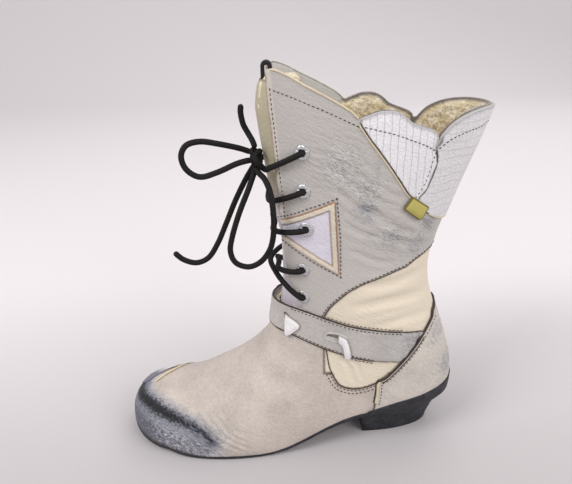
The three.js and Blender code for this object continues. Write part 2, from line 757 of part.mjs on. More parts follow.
// A bar from an outer eyelet to an inner one, over the tongue at a section between them.
function laceBar(outerRow, innerRow, crossingU) {
  const [from, to] = [eyeletSeats[0][outerRow], eyeletSeats[1][innerRow]];
  const there = laceRun(from, liftOf(outerRow), crossingU);
  const back = laceRun(to, liftOf(innerRow), crossingU).reverse();
  const route = [...there, overFlap(crossingU, RIDGE, 0), ...back];
  return tube(through(route), LACE_RADIUS, LACE_STEPS);
}
const rowSection = (row) => (eyeletSeats[0][row].u + eyeletSeats[1][row].u) / 2;
const LACE_SAG = 0.6; // sections that a bar's middle lies below its eyelets
const laceBars = [1, 2].map((row) => laceBar(row, row, rowSection(row) - LACE_SAG));
const crossing = (rowSection(3) + rowSection(4)) / 2;
const laceCross = laceBar(3, 4, crossing).add(laceBar(4, 3, crossing));

// The knot in front of the tongue, level with the top pair of eyelets, and what hangs from it.
// A free lace's points have columns: depth, level, share of the shaft's width across.
const place = ([s, l, across]) => new THREE.Vector3(depth(s), across * SHAFT_WIDTH, level(l));
const KNOT = place([1.062, 1.697, -0.12]);
const KNOT_SIZE = 1.05 * LACE_DIAMETER;
const KNOT_STRAND = 0.42 * LACE_DIAMETER; // its radius, drawn tight
const knot = solidOf(
  new THREE.TorusKnotGeometry(KNOT_SIZE, KNOT_STRAND, 30, 5)
    .rotateY(Math.PI / 2)
    .translate(KNOT.x, KNOT.y, KNOT.z),
);
const LOOP_ROUND = [
  [1.0855, 1.709, -0.075],
  [1.11, 1.717, -0.07],
  [1.157, 1.731, -0.1],
  [1.24, 1.752, -0.17],
  [1.321, 1.767, -0.23],
  [1.386, 1.758, -0.27],
  [1.413, 1.72, -0.28],
  [1.393, 1.674, -0.28],
  [1.333, 1.646, -0.27],
  [1.251, 1.657, -0.24],
  [1.164, 1.68, -0.2],
  [1.115, 1.688, -0.175],
  [1.0855, 1.69, -0.16],
];
const LOOP_LONG = [
  [1.064, 1.663, -0.14],
  [1.078, 1.64, -0.21],
  [1.105, 1.594, -0.28],
  [1.155, 1.511, -0.32],
  [1.196, 1.421, -0.33],
  [1.208, 1.366, -0.33],
  [1.184, 1.321, -0.33],
  [1.121, 1.303, -0.33],
  [1.057, 1.326, -0.35],
  [1.011, 1.376, -0.38],
  [0.99, 1.438, -0.43],
  [0.985, 1.516, -0.46],
  [0.996, 1.596, -0.43],
  [1.02, 1.636, -0.34],
  [1.05, 1.652, -0.245],
  [1.062, 1.664, -0.195],
];
const END_SHORT = [
  [1.065, 1.7265, -0.095],
  [1.078, 1.75, -0.05],
  [1.1, 1.775, 0],
  [1.121, 1.806, 0.01],
  [1.13, 1.847, 0.01],
  [1.125, 1.875, 0.01],
];
const END_LONG = [
  [1.068, 1.6685, -0.088],
  [1.09, 1.645, -0.07],
  [1.128, 1.6, -0.08],
  [1.179, 1.529, -0.09],
  [1.232, 1.443, -0.1],
  [1.28, 1.369, -0.12],
  [1.331, 1.316, -0.15],
  [1.393, 1.302, -0.19],
  [1.455, 1.323, -0.23],
  [1.499, 1.358, -0.25],
];
const FREE_STEP = 2.6 * LACE_DIAMETER;
function freeLace(rows) {
  const curve = through(rows.map(place));
  const steps = Math.ceil(curve.getLength() / FREE_STEP);
  return tube(curve, LACE_RADIUS, steps);
}
// The top pair of eyelets sends the lace to the knot, one piece from each side.
const KNOT_REACH = 2.3 * KNOT_SIZE;
function laceToKnot(sideIndex) {
  const seat = eyeletSeats[sideIndex][0];
  const sign = SIDES[sideIndex][1];
  const run = laceRun(seat, 0, seat.u - LACE_SAG, LACE_STATIONS.slice(0, 4));
  const end = KNOT.clone().add(new THREE.Vector3(0, sign * KNOT_REACH, 0));
  return tube(through([...run, end]), LACE_RADIUS, LACE_STEPS / 2);
}

const finish = {
  greyLeather: { color: 0xb4b0a8, roughness: 0.78, metalness: 0 },
  creamLeather: { color: 0xdcd2be, roughness: 0.8, metalness: 0 },
  whiteLeather: { color: 0xe4e0e6, roughness: 0.7, metalness: 0 },
  blackRubber: { color: 0x24242c, roughness: 0.6, metalness: 0 },
  fleece: { color: 0xcfc4a4, roughness: 1, metalness: 0 },
  lace: { color: 0x16120f, roughness: 0.75, metalness: 0 },
  eyelet: { color: 0xc9ccd0, roughness: 0.3, metalness: 1 },
  label: { color: 0xb5ac5e, roughness: 0.8, metalness: 0 },
};
const boot = new THREE.Group();
function add(name, solid, look) {
  const mesh = new THREE.Mesh(geometryOf(solid), new THREE.MeshStandardMaterial(finish[look]));
  mesh.name = name;
  boot.add(mesh);
}

add("upper", upper, "greyLeather");
add("outsole", outsole, "blackRubber");
add("heel", heel, "blackRubber");
add("insole", insole, "fleece");
add("tongue", tongue, "fleece");
add("pull_loop", pullLoop, "lace");
add("counter", counter, "greyLeather");
add("instep_strap", strap, "greyLeather");
add("toe_crescent", toeCrescent, "whiteLeather");
add("cuff_back", cut(panelLayer, BACK_CUFF, BOTH_SIDES), "whiteLeather");
add("side_label", cut(labelLayer, LABEL, OUTER_SIDE), "label");
SIDES.forEach(([name, sign], s) => {
  const reach = sign < 0 ? OUTER_SIDE : INNER_SIDE;
  const patchHole = eyeletHole(eyeletSeats[s][PATCHED_EYELET]);
  add(`cuff_front_${name}`, cut(panelLayer, FRONT_CUFF, reach), "whiteLeather");
  add(`patch_${name}`, cut(panelLayer, PATCH, reach).subtract(patchHole), "whiteLeather");
  for (const [place, outline] of Object.entries(THONGS)) {
    add(`thong_${place}_${name}`, cut(thongLayer, outline, reach), "whiteLeather");
  }
  eyeletSeats[s].forEach((seat, i) => {
    const lift = i === PATCHED_EYELET ? PANEL_THICKNESS + CLEARANCE : 0;
    add(`eyelet_${name}_${i + 1}`, eyelet(seat, lift), "eyelet");
  });
});
laceBars.forEach((bar, i) => add(`lace_bar_${i + 2}`, bar, "lace"));
add("lace_cross", laceCross, "lace");
SIDES.forEach(([name], s) => add(`lace_top_${name}`, laceToKnot(s), "lace"));
add("lace_knot", knot, "lace");
add("lace_loop_round", freeLace(LOOP_ROUND), "lace");
add("lace_loop_long", freeLace(LOOP_LONG), "lace");
add("lace_end_short", freeLace(END_SHORT), "lace");
add("lace_end_long", freeLace(END_LONG), "lace");

export default boot;
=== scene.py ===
"""A left mukluk boot: worn grey leather on a thin black sole, laced over a fleece-backed tongue."""

import math

import bpy
import numpy as np
from mathutils import Matrix, Vector


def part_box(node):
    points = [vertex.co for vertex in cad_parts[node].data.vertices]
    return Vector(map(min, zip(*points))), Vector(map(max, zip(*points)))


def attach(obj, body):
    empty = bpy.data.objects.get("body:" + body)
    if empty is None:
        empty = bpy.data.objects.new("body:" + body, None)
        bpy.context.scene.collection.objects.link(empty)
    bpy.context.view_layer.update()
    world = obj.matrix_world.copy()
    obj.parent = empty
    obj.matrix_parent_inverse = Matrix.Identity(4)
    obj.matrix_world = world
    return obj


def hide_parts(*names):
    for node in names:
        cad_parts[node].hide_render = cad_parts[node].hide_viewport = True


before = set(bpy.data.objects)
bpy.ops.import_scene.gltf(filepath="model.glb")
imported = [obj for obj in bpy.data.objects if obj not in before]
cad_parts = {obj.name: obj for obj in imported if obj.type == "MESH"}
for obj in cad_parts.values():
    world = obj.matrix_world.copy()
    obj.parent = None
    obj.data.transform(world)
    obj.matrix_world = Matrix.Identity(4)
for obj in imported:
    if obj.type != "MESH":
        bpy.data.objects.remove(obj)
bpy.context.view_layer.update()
MM = 0.001

# The camera looks down on the boot's outer side, from one degree to the left of square on. Its place,
# its angles and its focal length are fitted to the photograph.
IMAGE_WIDTH_PX = 572
FOCAL_PX = 560
SENSOR_MM = 36
CAMERA_AT = Vector((-0.100, -0.398, 0.342))
AZIMUTH, ELEVATION, ROLL = (math.radians(a) for a in (-1.0, 23.5, -1.4))
back = Vector(
    (
        math.sin(AZIMUTH) * math.cos(ELEVATION),
        -math.cos(AZIMUTH) * math.cos(ELEVATION),
        math.sin(ELEVATION),
    )
)
right = Vector((math.cos(AZIMUTH), math.sin(AZIMUTH), 0))
up = back.cross(right)
camera = bpy.data.objects.new("camera", bpy.data.cameras.new("camera"))
camera.data.sensor_width = SENSOR_MM
camera.data.lens = FOCAL_PX / IMAGE_WIDTH_PX * SENSOR_MM
camera_right = right * math.cos(ROLL) + up * math.sin(ROLL)
camera_up = up * math.cos(ROLL) - right * math.sin(ROLL)
turn = Matrix((camera_right, camera_up, back)).transposed()
camera.matrix_world = Matrix.Translation(CAMERA_AT) @ turn.to_4x4()
bpy.context.scene.collection.objects.link(camera)
bpy.context.scene.camera = camera

# The last: the boot's outer surface, a blend of oval sections from the toe to the collar. Every
# leather piece below is cut from it, so its sizes are the solid model's, in millimetres.
FOOT_LENGTH = 270.5
ANKLE_DEPTH = 145
HEEL_REACH = 41
BALL_WIDTH = 99
INSTEP_HEIGHT = 100
SHAFT_HEIGHT = 300
SHAFT_WIDTH = 75
TOE_SPRING = 9
HEEL_HEIGHT = 30
SOLE_THICKNESS = 4
WALL = 2.6
THROAT_FRONT = HEEL_REACH - ANKLE_DEPTH
TOE_TIP = HEEL_REACH - FOOT_LENGTH
TOE_EDGE = 0.06 * INSTEP_HEIGHT
TOE_TAPER = 0.18
TOE_PLAN_ROUND = 2.1
TOE_SIDE_ROUND = [2.4, 2.2]
RIDGE = math.pi / 2
FIRST_U = -0.9999


def station(s):
    """Along the foot: 0 is the back of the counter, 1 the front of the throat, 2 the toe's tip."""
    return HEEL_REACH - s * ANKLE_DEPTH if s <= 1 else THROAT_FRONT + (s - 1) * (TOE_TIP - THROAT_FRONT)


def depth(s):
    return HEEL_REACH - s * ANKLE_DEPTH


def level(share):
    """Upwards: 0 is the floor, 1 the instep and 2 the flaps' front corners."""
    if share <= 1:
        return share * INSTEP_HEIGHT
    return INSTEP_HEIGHT + (share - 1) * (SHAFT_HEIGHT - INSTEP_HEIGHT)


# Columns: front station, front level, base station, base level, outer, inner, lean, waist, crown, keel.
FOOT_SECTIONS = [
    [1.733, 0.42, 1.733, -0.11, 0.414, 0.394, 0.05, 0.47, 2.3, 3.0],
    [1.63, 0.435, 1.63, -0.12, 0.475, 0.434, 0.05, 0.45, 2.3, 3.0],
    [1.51, 0.465, 1.51, -0.13, 0.51, 0.465, 0.05, 0.42, 2.2, 3.0],
    [1.359, 0.57, 1.359, -0.14, 0.525, 0.475, 0.04, 0.36, 2.1, 3.0],
    [1.207, 0.705, 1.2, -0.14, 0.525, 0.455, 0.03, 0.32, 2.0, 3.0],
    [1.104, 0.83, 1.024, -0.13, 0.505, 0.414, 0.02, 0.3, 2.0, 3.0],
    [1.048, 0.925, 0.848, -0.1, 0.465, 0.379, 0.01, 0.31, 2.0, 3.0],
]
# Columns: front depth, front level, base depth, base level, outer, inner, waist, crown, keel.
SHAFT_SECTIONS = [
    [1.024, 1.0, 0.655, -0.04, 0.547, 0.48, 0.35, 2.0, 2.9],
    [1.014, 1.035, 0.455, 0.0, 0.507, 0.48, 0.39, 2.0, 2.8],
    [1.007, 1.07, 0.234, 0.03, 0.493, 0.48, 0.42, 2.0, 2.7],
    [1.0, 1.105, 0.062, 0.14, 0.493, 0.487, 0.44, 2.0, 2.6],
    [0.997, 1.145, 0.0, 0.38, 0.493, 0.493, 0.46, 2.0, 2.5],
    [0.993, 1.19, 0.0, 0.63, 0.493, 0.493, 0.48, 2.1, 2.4],
    [0.99, 1.24, 0.045, 0.88, 0.493, 0.493, 0.5, 2.1, 2.3],
    [0.99, 1.3, 0.107, 1.065, 0.493, 0.493, 0.5, 2.1, 2.2],
    [0.993, 1.37, 0.155, 1.19, 0.493, 0.493, 0.5, 2.2, 2.2],
    [1.003, 1.45, 0.159, 1.305, 0.5, 0.5, 0.5, 2.2, 2.2],
    [1.017, 1.555, 0.097, 1.465, 0.513, 0.513, 0.5, 2.2, 2.2],
    [1.038, 1.7, 0.007, 1.65, 0.527, 0.527, 0.5, 2.2, 2.1],
    [1.066, 1.875, -0.103, 1.87, 0.547, 0.547, 0.5, 2.2, 2.0],
    [1.097, 2.08, -0.2, 2.08, 0.56, 0.56, 0.5, 2.2, 2.0],
]
SECTIONS = []
for front, rise, base, drop, outer, inner, lean, waist, crown, keel in FOOT_SECTIONS:
    widths = [outer * BALL_WIDTH, inner * BALL_WIDTH, lean * BALL_WIDTH]
    SECTIONS.append([station(front), level(rise), station(base), level(drop), *widths, waist, crown, keel])
for front, rise, base, drop, outer, inner, waist, crown, keel in SHAFT_SECTIONS:
    widths = [outer * SHAFT_WIDTH, inner * SHAFT_WIDTH, 0]
    SECTIONS.append([depth(front), level(rise), depth(base), level(drop), *widths, waist, crown, keel])
SECTIONS = np.array(SECTIONS, float)
TOP_SECTION = len(SECTIONS) - 1


def blend(rows, u):
    """The row at u of a table, on a Catmull-Rom curve through each column."""
    i = np.clip(np.floor(u).astype(int), 0, len(rows) - 2)
    t = (u - i)[..., None]
    a, b, c, d = (rows[np.clip(i + k, 0, len(rows) - 1)] for k in (-1, 0, 1, 2))
    bend = (2 * a - 5 * b + 4 * c - d) * t**2 + (3 * b - a - 3 * c + d) * t**3
    return 0.5 * (2 * b + (c - a) * t + bend)


def section(u):
    """The section at u. From -1 to 0 it is the toe's rounding to its tip."""
    rows = blend(SECTIONS, np.maximum(u, 0))
    along = 1 - np.cos((1 + np.minimum(u, 0)) * math.pi / 2)
    away = 1 - along
    wide = np.sqrt(1 - away**TOE_PLAN_ROUND) * (1 - TOE_TAPER * away)
    high = (1 - away ** TOE_SIDE_ROUND[0]) ** (1 / TOE_SIDE_ROUND[1])
    toe = rows.copy()
    tip_height = TOE_SPRING + TOE_EDGE
    toe[..., 0] = toe[..., 2] = TOE_TIP + (rows[..., 2] - TOE_TIP) * along
    toe[..., 1] = tip_height + (rows[..., 1] - tip_height) * high
    toe[..., 3] = TOE_SPRING - (TOE_SPRING - rows[..., 3]) * np.sqrt(high)
    toe[..., 4] = (rows[..., 4] + rows[..., 6]) * wide - rows[..., 6]
    toe[..., 5] = (rows[..., 5] - rows[..., 6]) * wide + rows[..., 6]
    return np.where((u < 0)[..., None], toe, rows)


def surface(u, phi):
    """A point of the outer surface: u picks the section, phi runs round it from its base."""
    u, phi = np.broadcast_arrays(np.asarray(u, float), np.asarray(phi, float))
    row = np.moveaxis(section(u), -1, 0)
    front_x, front_z, base_x, base_z, outer, inner, lean, waist, crown, keel = row
    c, s = np.cos(phi), np.sin(phi)
    power = 2 / np.where(s >= 0, crown, keel)
    across = np.sign(c) * np.abs(c) ** power
    rise = np.sign(s) * np.abs(s) ** power
    k = np.where(rise >= 0, waist + (1 - waist) * rise, waist * (1 + rise))
    y = lean + np.where(c < 0, outer + lean, inner - lean) * across
    return np.stack([base_x + (front_x - base_x) * k, y, base_z + (front_z - base_z) * k], -1)


def normal(u, phi):
    step = 1e-3
    u, phi = np.broadcast_arrays(np.asarray(u, float), np.asarray(phi, float))
    low, high = np.maximum(u - step, FIRST_U), np.minimum(u + step, TOP_SECTION)
    along = surface(high, phi) - surface(low, phi)
    round_it = surface(u, phi + step) - surface(u, phi - step)
    out = np.cross(round_it, along)
    return out / np.maximum(np.linalg.norm(out, axis=-1, keepdims=True), 1e-12)


def skin(u, phi, offset):
    return surface(u, phi) + normal(u, phi) * np.asarray(offset)[..., None]


def find(points, axes, phi_from, phi_to):
    """The u and phi of the surface points that have these two coordinates."""
    points = np.asarray(points, float)
    axes = list(axes)
    u = np.linspace(-0.98, TOP_SECTION, 361)[:, None]
    phi = np.linspace(phi_from, phi_to, 121)[None, :]
    sample = surface(u, phi)[..., axes]
    found = []
    for point in points:
        miss = np.linalg.norm(sample - point, axis=-1)
        i, j = np.unravel_index(miss.argmin(), miss.shape)
        found.append([u[i, 0], phi[0, j]])
    found = np.array(found)
    step = 1e-3
    for _ in range(4):
        here = surface(found[:, 0], found[:, 1])[:, axes]
        by_u = (surface(found[:, 0] + step, found[:, 1])[:, axes] - here) / step
        by_phi = (surface(found[:, 0], found[:, 1] + step)[:, axes] - here) / step
        gap = points - here
        area = by_u[:, 0] * by_phi[:, 1] - by_u[:, 1] * by_phi[:, 0]
        area = np.where(np.abs(area) < 1e-6, 1e-6, area)
        du = (gap[:, 0] * by_phi[:, 1] - gap[:, 1] * by_phi[:, 0]) / area
        dphi = (by_u[:, 0] * gap[:, 1] - by_u[:, 1] * gap[:, 0]) / area
        found[:, 0] = np.clip(found[:, 0] + np.clip(du, -0.1, 0.1), -0.98, TOP_SECTION)
        found[:, 1] += np.clip(dphi, -0.05, 0.05)
    return found[:, 0], found[:, 1]


def on_side(points, sign):
    """Seats of points of the side view (x, z), on the outer side (-1) or the inner (1)."""
    middle = math.pi if sign < 0 else 0
    return find(points, (0, 2), middle - 0.47 * math.pi, middle + 0.47 * math.pi)


def on_top(points):
    """Seats of points of the plan (x, y)."""
    return find(points, (0, 1), 0.06 * math.pi, 0.94 * math.pi)


def smooth(points, per=6):
    """A curve through the points, as more points."""
    rows = np.asarray(points, float)
    return blend(rows, np.linspace(0, len(rows) - 1, (len(rows) - 1) * per + 1))


def side(rows):
    """Rows of depth and level as x and z."""
    return [[depth(s), level(share)] for s, share in rows]


def to_segments(line, x, z, closed):
    a = np.asarray(line, float)
    b = np.roll(a, -1, 0)
    if not closed:
        a, b = a[:-1], b[:-1]
    best = np.full(x.shape, 1e9)
    inside = np.zeros(x.shape, bool)
    for (ax, az), (bx, bz) in zip(a, b):
        long = max((bx - ax) ** 2 + (bz - az) ** 2, 1e-9)
        t = np.clip(((x - ax) * (bx - ax) + (z - az) * (bz - az)) / long, 0, 1)
        best = np.minimum(best, np.hypot(x - ax - t * (bx - ax), z - az - t * (bz - az)))
        if az != bz:
            inside ^= ((az > z) != (bz > z)) & (x < (bx - ax) * (z - az) / (bz - az) + ax)
    return best, inside


def within(outline, x, z):
    """Distance to an outline, positive inside it."""
    best, inside = to_segments(outline, x, z, True)
    return np.where(inside, best, -best)


def from_line(line, x, z):
    return to_segments(line, x, z, False)[0]


def ease(value, low, high):
    t = np.clip((value - low) / (high - low), 0, 1)
    return t * t * (3 - 2 * t)


# The free lace, black and round, braided of polyester. It comes first, because its route is the
# solid model's: a bow of two loops and two ends, hanging from a knot level with the top eyelets.
LACE_DIAMETER = 4.3
LACE_RADIUS = LACE_DIAMETER / 2
BRAID_PITCH = 4.2
BRAID_STRANDS = 8
LACE_SIDES = 16
LACE_STEP = 0.6
BRAID_RELIEF = 0.16
TAU = 2 * math.pi
CURVE_FINENESS = 24
LOOSE_AT_ENDS, LOOSER_INSIDE = 0.06, 0.19
LOOSENS = (84, 150)  # in points of the curve, counted in from its ends


def made_piece(name, verts, faces):
    """A smooth piece from its vertices, in metres, and its faces."""
    mesh = bpy.data.meshes.new(name)
    mesh.from_pydata(np.asarray(verts).tolist(), [], faces)
    mesh.shade_smooth()
    piece = bpy.data.objects.new(name, mesh)
    bpy.context.scene.collection.objects.link(piece)
    return piece


def tube_faces(rows, cols, flipped=False):
    """The faces between rings of points, with both ends closed."""
    faces = []
    for i in range(rows - 1):
        for j in range(cols):
            a, b = i * cols + j, i * cols + (j + 1) % cols
            faces.append((a, a + cols, b + cols, b) if flipped else (a, b, b + cols, a + cols))
    first, last = tuple(range(cols)), tuple((rows - 1) * cols + j for j in range(cols))
    return faces + ([first, last[::-1]] if flipped else [first[::-1], last])


def tube_mesh(name, points, radius, sides, step, relief=None, relax=0):
    """A closed tube along a smooth curve through the points (in mm), with round ends."""
    line = smooth(points, CURVE_FINENESS)
    place_in = np.minimum(np.arange(len(line)), np.arange(len(line))[::-1])[1:-1, None]
    loose = LOOSE_AT_ENDS + LOOSER_INSIDE * ease(place_in, *LOOSENS)
    for _ in range(relax):
        line[1:-1] += loose * (line[:-2] + line[2:] - 2 * line[1:-1])
    arc = np.concatenate([[0], np.cumsum(np.linalg.norm(np.diff(line, axis=0), axis=1))])
    count = max(int(arc[-1] / step), 4)
    where = np.linspace(0, arc[-1], count + 1)
    line = np.stack([np.interp(where, arc, line[:, k]) for k in range(3)], 1)
    tangent = np.gradient(line, axis=0)
    tangent /= np.linalg.norm(tangent, axis=1, keepdims=True)
    across = np.zeros_like(line)
    start = np.cross(tangent[0], [0.3, 0.1, 1.0])
    across[0] = start / np.linalg.norm(start)
    for i in range(1, len(line)):
        v = across[i - 1] - tangent[i] * (across[i - 1] @ tangent[i])
        across[i] = v / np.linalg.norm(v)
    other = np.cross(tangent, across)
    angle = np.linspace(0, TAU, sides, endpoint=False)
    size = np.full((len(line), sides), float(radius))
    if relief is not None:
        size = size + relief(where[:, None], angle[None, :])
    ends = np.minimum(where, where[-1] - where) / radius
    size *= np.sqrt(np.clip(1 - (1 - np.clip(ends, 0, 1)) ** 2, 0.02, 1))[:, None]
    ring = across[:, None] * np.cos(angle)[None, :, None] + other[:, None] * np.sin(angle)[None, :, None]
    verts = (line[:, None] + ring * size[..., None]).reshape(-1, 3)
    return made_piece(name, verts * MM, tube_faces(len(line), sides)), line


def braid(along, angle):
    """Two families of strands wound opposite ways, over and under each other."""
    left = np.abs(np.sin(BRAID_STRANDS / 2 * angle + math.pi * along / BRAID_PITCH * 2))
    right = np.abs(np.sin(BRAID_STRANDS / 2 * angle - math.pi * along / BRAID_PITCH * 2))
    return BRAID_RELIEF * np.maximum(left, right) - BRAID_RELIEF


def lace_piece(name, points, relax=0):
    """A length of the lace along the points."""
    return tube_mesh(name, points, LACE_RADIUS, LACE_SIDES, LACE_STEP, braid, relax)


def shade(code):
    """An sRGB hex colour as linear values."""
    rgb = [int(code[i : i + 2], 16) / 255 for i in (0, 2, 4)]
    return [c / 12.92 if c <= 0.04045 else ((c + 0.055) / 1.055) ** 2.4 for c in rgb] + [1]


def add(tree, kind, links=None, **settings):
    """A node with its settings, its inputs linked to sockets or set to values."""
    node = tree.nodes.new(kind)
    for key, value in settings.items():
        setattr(node, key, value)
    for key, value in (links or {}).items():
        if isinstance(value, bpy.types.NodeSocket):
            tree.links.new(value, node.inputs[key])
        else:
            node.inputs[key].default_value = value
    return node


def new_material(name):
    """A material, its node tree and the piece's own coordinates in it."""
    made = bpy.data.materials.new(name)
    made.use_nodes = True
    tree = made.node_tree
    tree.nodes.clear()
    return made, tree, add(tree, "ShaderNodeTexCoord").outputs["Object"]


def finish_material(tree, settings):
    body = add(tree, "ShaderNodeBsdfPrincipled", settings)
    add(tree, "ShaderNodeOutputMaterial", {"Surface": body.outputs[0]})


# Polyester braid: matt black-brown, with the dull glint of its filaments.
lace_look, tree, coords = new_material("polyester_braid")
fuzz = add(tree, "ShaderNodeTexNoise", {"Vector": coords, "Scale": 900.0, "Detail": 3.0})
tone = add(tree, "ShaderNodeValToRGB", {"Fac": fuzz.outputs[0]})
tone.color_ramp.elements[0].color = shade("050404")
tone.color_ramp.elements[1].color = shade("1a1513")
bump = add(tree, "ShaderNodeBump", {"Height": fuzz.outputs[0], "Strength": 0.5, "Distance": 0.0003})
finish_material(
    tree,
    {
        "Base Color": tone.outputs[0],
        "Roughness": 0.72,
        "Normal": bump.outputs[0],
        "Specular IOR Level": 0.3,
    },
)


def place(row):
    s, share, across = row
    return [depth(s), across * SHAFT_WIDTH, level(share)]


KNOT = np.array(place([1.062, 1.697, -0.12]))
KNOT_SIZE = 3.9
KNOT_STRAND = 0.46 * LACE_DIAMETER
FREE_LACES = {
    "lace_loop_round": [
        [1.0855, 1.709, -0.075],
        [1.11, 1.717, -0.07],
        [1.157, 1.731, -0.1],
        [1.24, 1.752, -0.17],
        [1.321, 1.767, -0.23],
        [1.386, 1.758, -0.27],
        [1.413, 1.72, -0.28],
        [1.393, 1.674, -0.28],
        [1.333, 1.646, -0.27],
        [1.251, 1.657, -0.24],
        [1.164, 1.68, -0.2],
        [1.115, 1.688, -0.175],
        [1.0855, 1.69, -0.16],
    ],
    "lace_loop_long": [
        [1.064, 1.663, -0.14],
        [1.078, 1.64, -0.21],
        [1.105, 1.594, -0.28],
        [1.155, 1.511, -0.32],
        [1.196, 1.421, -0.33],
        [1.208, 1.366, -0.33],
        [1.184, 1.321, -0.33],
        [1.121, 1.303, -0.33],
        [1.057, 1.326, -0.35],
        [1.011, 1.376, -0.38],
        [0.99, 1.438, -0.43],
        [0.985, 1.516, -0.46],
        [0.996, 1.596, -0.43],
        [1.02, 1.636, -0.34],
        [1.05, 1.652, -0.245],
        [1.062, 1.664, -0.195],
    ],
    "lace_end_short": [
        [1.065, 1.7265, -0.095],
        [1.078, 1.75, -0.05],
        [1.1, 1.775, 0],
        [1.121, 1.806, 0.01],
        [1.13, 1.847, 0.01],
        [1.125, 1.875, 0.01],
    ],
    "lace_end_long": [
        [1.068, 1.6685, -0.088],
        [1.09, 1.645, -0.07],
        [1.128, 1.6, -0.08],
        [1.179, 1.529, -0.09],
        [1.232, 1.443, -0.1],
        [1.28, 1.369, -0.12],
        [1.331, 1.316, -0.15],
        [1.393, 1.302, -0.19],
        [1.455, 1.323, -0.23],
        [1.499, 1.358, -0.25],
    ],
}


def dress(piece, look, *nodes, slot=None):
    """The piece's material, its body and the nodes that it stands for; slot is not used."""
    piece.data.materials.clear()
    piece.data.materials.append(look)
    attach(piece, "root")
    if nodes:
        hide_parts(*nodes)
    return piece


# The knot: the bow's two half hitches, drawn tight into a rosette.
t = np.linspace(0, 4 * math.pi, 61)[:-1]
swing = 0.5 * KNOT_SIZE * (2 + np.cos(1.5 * t))
rosette = np.stack([-0.75 * KNOT_SIZE * np.sin(1.5 * t), swing * np.sin(t), -swing * np.cos(t)], 1)
knot, _ = tube_mesh(
    "lace_knot_braid", KNOT + np.vstack([rosette, rosette[:2]]), KNOT_STRAND, 14, 0.5, braid
)
dress(knot, lace_look, "lace_knot", slot="lace")

for name, rows in FREE_LACES.items():
    piece, line = lace_piece(name + "_braid", [place(r) for r in rows])
    dress(piece, lace_look, name, slot="lace")

# Sheets cut from the last. A grid of the surface is trimmed along a field that is positive where
# leather is, its border vertices moved onto the cut, and given two faces and a rounded edge.
RIM_RINGS = 3


def grid(spacing, u_span, phi_span, closed):
    fine = np.linspace(*u_span, 600)
    angles = np.linspace(*phi_span, 120)
    travel = np.linalg.norm(np.diff(surface(fine[:, None], angles[None]), axis=0), axis=2).max(1)
    reach = np.concatenate([[0], np.cumsum(travel)])
    rows = max(int(reach[-1] / spacing), 2)
    u = np.interp(np.linspace(0, reach[-1], rows + 1), reach, fine)
    angles = np.linspace(*phi_span, 500)
    steps = np.linalg.norm(np.diff(surface(u[:, None], angles[None]), axis=1), axis=2)
    arc = np.concatenate([np.zeros((rows + 1, 1)), np.cumsum(steps, 1)], 1)
    cols = max(int(arc[:, -1].max() / spacing), 2)
    share = np.arange(cols) / cols if closed else np.linspace(0, 1, cols + 1)
    phi = np.stack([np.interp(share * a[-1], a, angles) for a in arc])
    return np.repeat(u[:, None], phi.shape[1], 1), phi


def trimmed(field, spacing, opened, closed, offset=0):
    """The grid's u and phi with its border on the cut, and the faces that are kept."""
    u_span, phi_span = [FIRST_U, TOP_SECTION], [opened, opened + TAU]
    if not closed:
        U, P = grid(4.0, u_span, phi_span, False)
        near = field(surface(U, P)) > -5
        rows, cols = np.where(near.any(1))[0], np.where(near.any(0))[0]
        u_span = [U[max(rows[0] - 1, 0), 0], U[min(rows[-1] + 1, len(U) - 1), 0]]
        c0, c1 = max(cols[0] - 1, 0), min(cols[-1] + 1, U.shape[1] - 1)
        phi_span = [P[rows, c0].min(), P[rows, c1].max()]
    U, P = grid(spacing, u_span, phi_span, closed)
    f = field(skin(U, P, np.full(U.shape, float(offset))) if offset else surface(U, P))
    f = np.where(np.abs(f) < 1e-6, 1e-6, f)
    best = np.full(f.shape, 9.0)
    new_u, new_p = U.copy(), P.copy()
    for axis, step in ((0, 1), (0, -1), (1, 1), (1, -1)):
        g = np.roll(f, -step, axis)
        gu, gp = np.roll(U, -step, axis), np.roll(P, -step, axis)
        valid = np.ones(f.shape, bool)
        edge = [slice(None), slice(None)]
        edge[axis] = -1 if step > 0 else 0
        if axis == 1 and closed:
            gp[tuple(edge)] += TAU * step
        else:
            valid[tuple(edge)] = False
        share = f / np.where(f == g, 1, f - g)
        take = valid & (f * g < 0) & (share <= 0.5) & (share < best)
        best[take] = share[take]
        new_u[take] = (U + (gu - U) * share)[take]
        new_p[take] = (P + (gp - P) * share)[take]
    state = np.where(best < 9, 0, np.sign(f)).astype(int)
    rows, cols = f.shape
    index = np.arange(rows * cols).reshape(rows, cols)
    span = cols if closed else cols - 1
    a = index[:-1, :span]
    b = np.roll(index, -1, 1)[:-1, :span]
    quads = np.stack([a, b, b + cols, a + cols], -1).reshape(-1, 4)
    flat = state.ravel()
    s = flat[quads]
    full = quads[(s >= 0).all(1) & (s > 0).any(1)]
    partial = quads[(s < 0).sum(1) == 1]
    out = flat[partial].argmin(1)
    keep = (flat[partial] > 0).any(1)
    partial, out = partial[keep], out[keep]
    k = np.arange(len(partial))
    corners = np.stack([partial[k, (out + i) % 4] for i in (1, 2, 3)], 1)
    all_on = quads[(s == 0).all(1)]
    if len(all_on):
        pu, pp = new_u.ravel()[all_on], new_p.ravel()[all_on]
        fine = np.ptp(pp, axis=1) < 1
        middle = field(surface(pu.mean(1), pp.mean(1))) > 0
        full = np.vstack([full, all_on[fine & middle]])
    used = np.unique(np.concatenate([full.ravel(), corners.ravel()]))
    remap = np.full(index.size, -1)
    remap[used] = np.arange(len(used))
    return new_u.ravel()[used], new_p.ravel()[used], remap[full], remap[corners]


